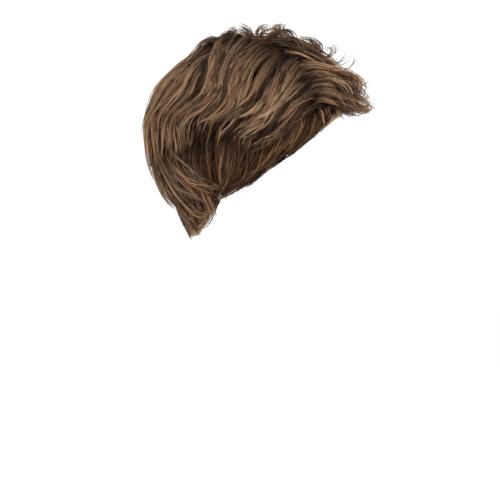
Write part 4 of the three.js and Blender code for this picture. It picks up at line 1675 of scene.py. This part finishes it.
class WIG_OT_mats(bpy.types.Operator):
    """Makes the mats of hair that the locks spring from"""

    bl_idname = "wig.mats"
    bl_label = "Hair mats"

    def execute(self, context):
        material = mat_material(context.scene.wig_fibre)
        front = (-FRINGE_EDGE, FRINGE_EDGE)
        right = (FRINGE_EDGE, SIDE_EDGE)
        left = (-SIDE_EDGE, -FRINGE_EDGE)
        back = (SIDE_EDGE, FULL_TURN - SIDE_EDGE)
        build_mat("crown_mat", None, 0.0, crown_hem, "fibre_light", "crown_hair", material)
        build_mat("fringe_mat", front, CROWN_EDGE, above_rim, "fibre_light", "fringe", material)
        build_mat("side_mat_right", right, CROWN_EDGE, side_hem, "fibre_dark", "side_hair_right", material)
        build_mat("side_mat_left", left, CROWN_EDGE, side_hem, "fibre_dark", "side_hair_left", material)
        build_mat("back_mat", back, CROWN_EDGE, back_hem, "fibre_light", "back_hair", material)
        build_mat("nape_mat", back, NAPE_EDGE, above_rim, "fibre_dark", "nape_hair", material)
        return {"FINISHED"}


class WIG_OT_crown_hair(bpy.types.Operator):
    """Makes the strands of the top, the long side locks and the long back locks"""

    bl_idname = "wig.crown_hair"
    bl_label = "Crown hair"

    def execute(self, context):
        fibre = context.scene.wig_fibre
        finish = ("fibre_light", "crown_hair", upper_fibre(fibre), fibre)
        build_strands("crown_top_strands", "crown_top", (ACROSS,), *finish)
        build_strands("crown_right_strands", "crown_side", (RIGHT,), *finish)
        build_strands("crown_left_strands", "crown_side", (LEFT,), *finish)
        return {"FINISHED"}


class WIG_OT_fringe(bpy.types.Operator):
    """Makes the strands of the fringe"""

    bl_idname = "wig.fringe"
    bl_label = "Fringe"

    def execute(self, context):
        fibre = context.scene.wig_fibre
        finish = ("fibre_light", "fringe", upper_fibre(fibre), fibre)
        build_strands("fringe_strands", "fringe", (ACROSS, RIGHT, LEFT), *finish)
        return {"FINISHED"}


class WIG_OT_back_hair(bpy.types.Operator):
    """Makes the strands of the back"""

    bl_idname = "wig.back_hair"
    bl_label = "Back hair"

    def execute(self, context):
        fibre = context.scene.wig_fibre
        finish = ("fibre_light", "back_hair", upper_fibre(fibre), fibre)
        build_strands("back_strands", "back", (RIGHT, LEFT), *finish)
        return {"FINISHED"}


class WIG_OT_side_hair(bpy.types.Operator):
    """Makes the strands of the sides and temples"""

    bl_idname = "wig.side_hair"
    bl_label = "Side hair"

    def execute(self, context):
        fibre = context.scene.wig_fibre
        finish = (shaded_lower_fibre(fibre), fibre)
        build_strands("side_right_strands", "side", (RIGHT,), "fibre_dark", "side_hair_right", *finish)
        build_strands("side_left_strands", "side", (LEFT,), "fibre_dark", "side_hair_left", *finish)
        return {"FINISHED"}


class WIG_OT_nape_hair(bpy.types.Operator):
    """Makes the strands of the nape"""

    bl_idname = "wig.nape_hair"
    bl_label = "Nape hair"

    def execute(self, context):
        fibre = context.scene.wig_fibre
        finish = ("fibre_dark", "nape_hair", shaded_lower_fibre(fibre), fibre)
        build_strands("nape_strands", "nape", (RIGHT, LEFT), *finish)
        return {"FINISHED"}


def add_light(name, place, size, power):
    """Adds a round light that faces the wig."""
    light = bpy.data.lights.new(name, "AREA")
    light.shape = "DISK"
    light.size = size
    light.energy = power
    lamp = bpy.data.objects.new(name, light)
    lamp.location = place
    away = Vector(place) - Vector(LIGHT_TARGET)
    lamp.rotation_mode = "QUATERNION"
    lamp.rotation_quaternion = away.to_track_quat("Z", "Y")
    bpy.context.collection.objects.link(lamp)


class WIG_OT_stage(bpy.types.Operator):
    """Sets the floor, the light and the camera"""

    bl_idname = "wig.stage"
    bl_label = "Stage"

    def execute(self, context):
        stage = context.scene.wig_stage
        corners = [(x * FLOOR_HALF, y * FLOOR_HALF, 0) for x, y in ((-1, -1), (1, -1), (1, 1), (-1, 1))]
        mesh = bpy.data.meshes.new("floor")
        mesh.from_pydata(corners, [], [(0, 1, 2, 3)])
        mesh.materials.append(floor_material(stage))
        floor = bpy.data.objects.new("floor", mesh)
        floor.location.z = stage.floor_height
        context.collection.objects.link(floor)
        floor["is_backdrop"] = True

        world = bpy.data.worlds.new("white_surround")
        world.use_nodes = True
        surround = world.node_tree.nodes["Background"]
        surround.inputs["Color"].default_value = (1.0, 1.0, 1.0, 1.0)
        surround.inputs["Strength"].default_value = stage.sky
        context.scene.world = world
        context.scene.view_settings.view_transform = "Standard"

        add_light("key", KEY_PLACE, KEY_SIZE, stage.key_power)
        add_light("fill", FILL_PLACE, FILL_SIZE, stage.key_power / KEY_TO_FILL)

        camera = bpy.data.cameras.new("camera")
        camera.sensor_width = 36.0
        camera.lens = camera.sensor_width * stage.view_distance / stage.view_width
        camera.clip_end = 100.0
        eye = bpy.data.objects.new("camera", camera)
        eye.location = Vector(stage.view_middle) - Vector((stage.view_distance, 0.0, 0.0))
        eye.rotation_euler = (math.pi / 2, 0.0, -math.pi / 2)
        context.collection.objects.link(eye)
        context.scene.camera = eye
        return {"FINISHED"}


OPERATORS = (
    WIG_OT_cap,
    WIG_OT_tape,
    WIG_OT_mats,
    WIG_OT_crown_hair,
    WIG_OT_fringe,
    WIG_OT_back_hair,
    WIG_OT_side_hair,
    WIG_OT_nape_hair,
    WIG_OT_stage,
)


class WIG_PT_panel(bpy.types.Panel):
    """Lists the steps that build the wig"""

    bl_idname = "WIG_PT_panel"
    bl_label = "Wig"
    bl_space_type = "VIEW_3D"
    bl_region_type = "UI"
    bl_category = "Wig"

    def draw(self, context):
        for operator in OPERATORS:
            self.layout.operator(operator.bl_idname)


SETTINGS = {"wig_cap": CapSettings, "wig_fibre": FibreSettings, "wig_stage": StageSettings}


def register():
    for group in SETTINGS.values():
        bpy.utils.register_class(group)
    for name, group in SETTINGS.items():
        setattr(bpy.types.Scene, name, bpy.props.PointerProperty(type=group))
    for operator in OPERATORS:
        bpy.utils.register_class(operator)
    bpy.utils.register_class(WIG_PT_panel)


def unregister():
    bpy.utils.unregister_class(WIG_PT_panel)
    for operator in reversed(OPERATORS):
        bpy.utils.unregister_class(operator)
    for name in SETTINGS:
        delattr(bpy.types.Scene, name)
    for group in SETTINGS.values():
        bpy.utils.unregister_class(group)


def main():
    register()
    bpy.ops.wig.cap()
    bpy.ops.wig.tape()
    bpy.ops.wig.mats()
    bpy.ops.wig.crown_hair()
    bpy.ops.wig.fringe()
    bpy.ops.wig.back_hair()
    bpy.ops.wig.side_hair()
    bpy.ops.wig.nape_hair()
    bpy.ops.wig.stage()
    boxes = {"cad": CAD_BOX, "visual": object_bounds()}
    sizes = {name: [list(corner) for corner in box] for name, box in boxes.items()}


if __name__ == "__main__":
    main()
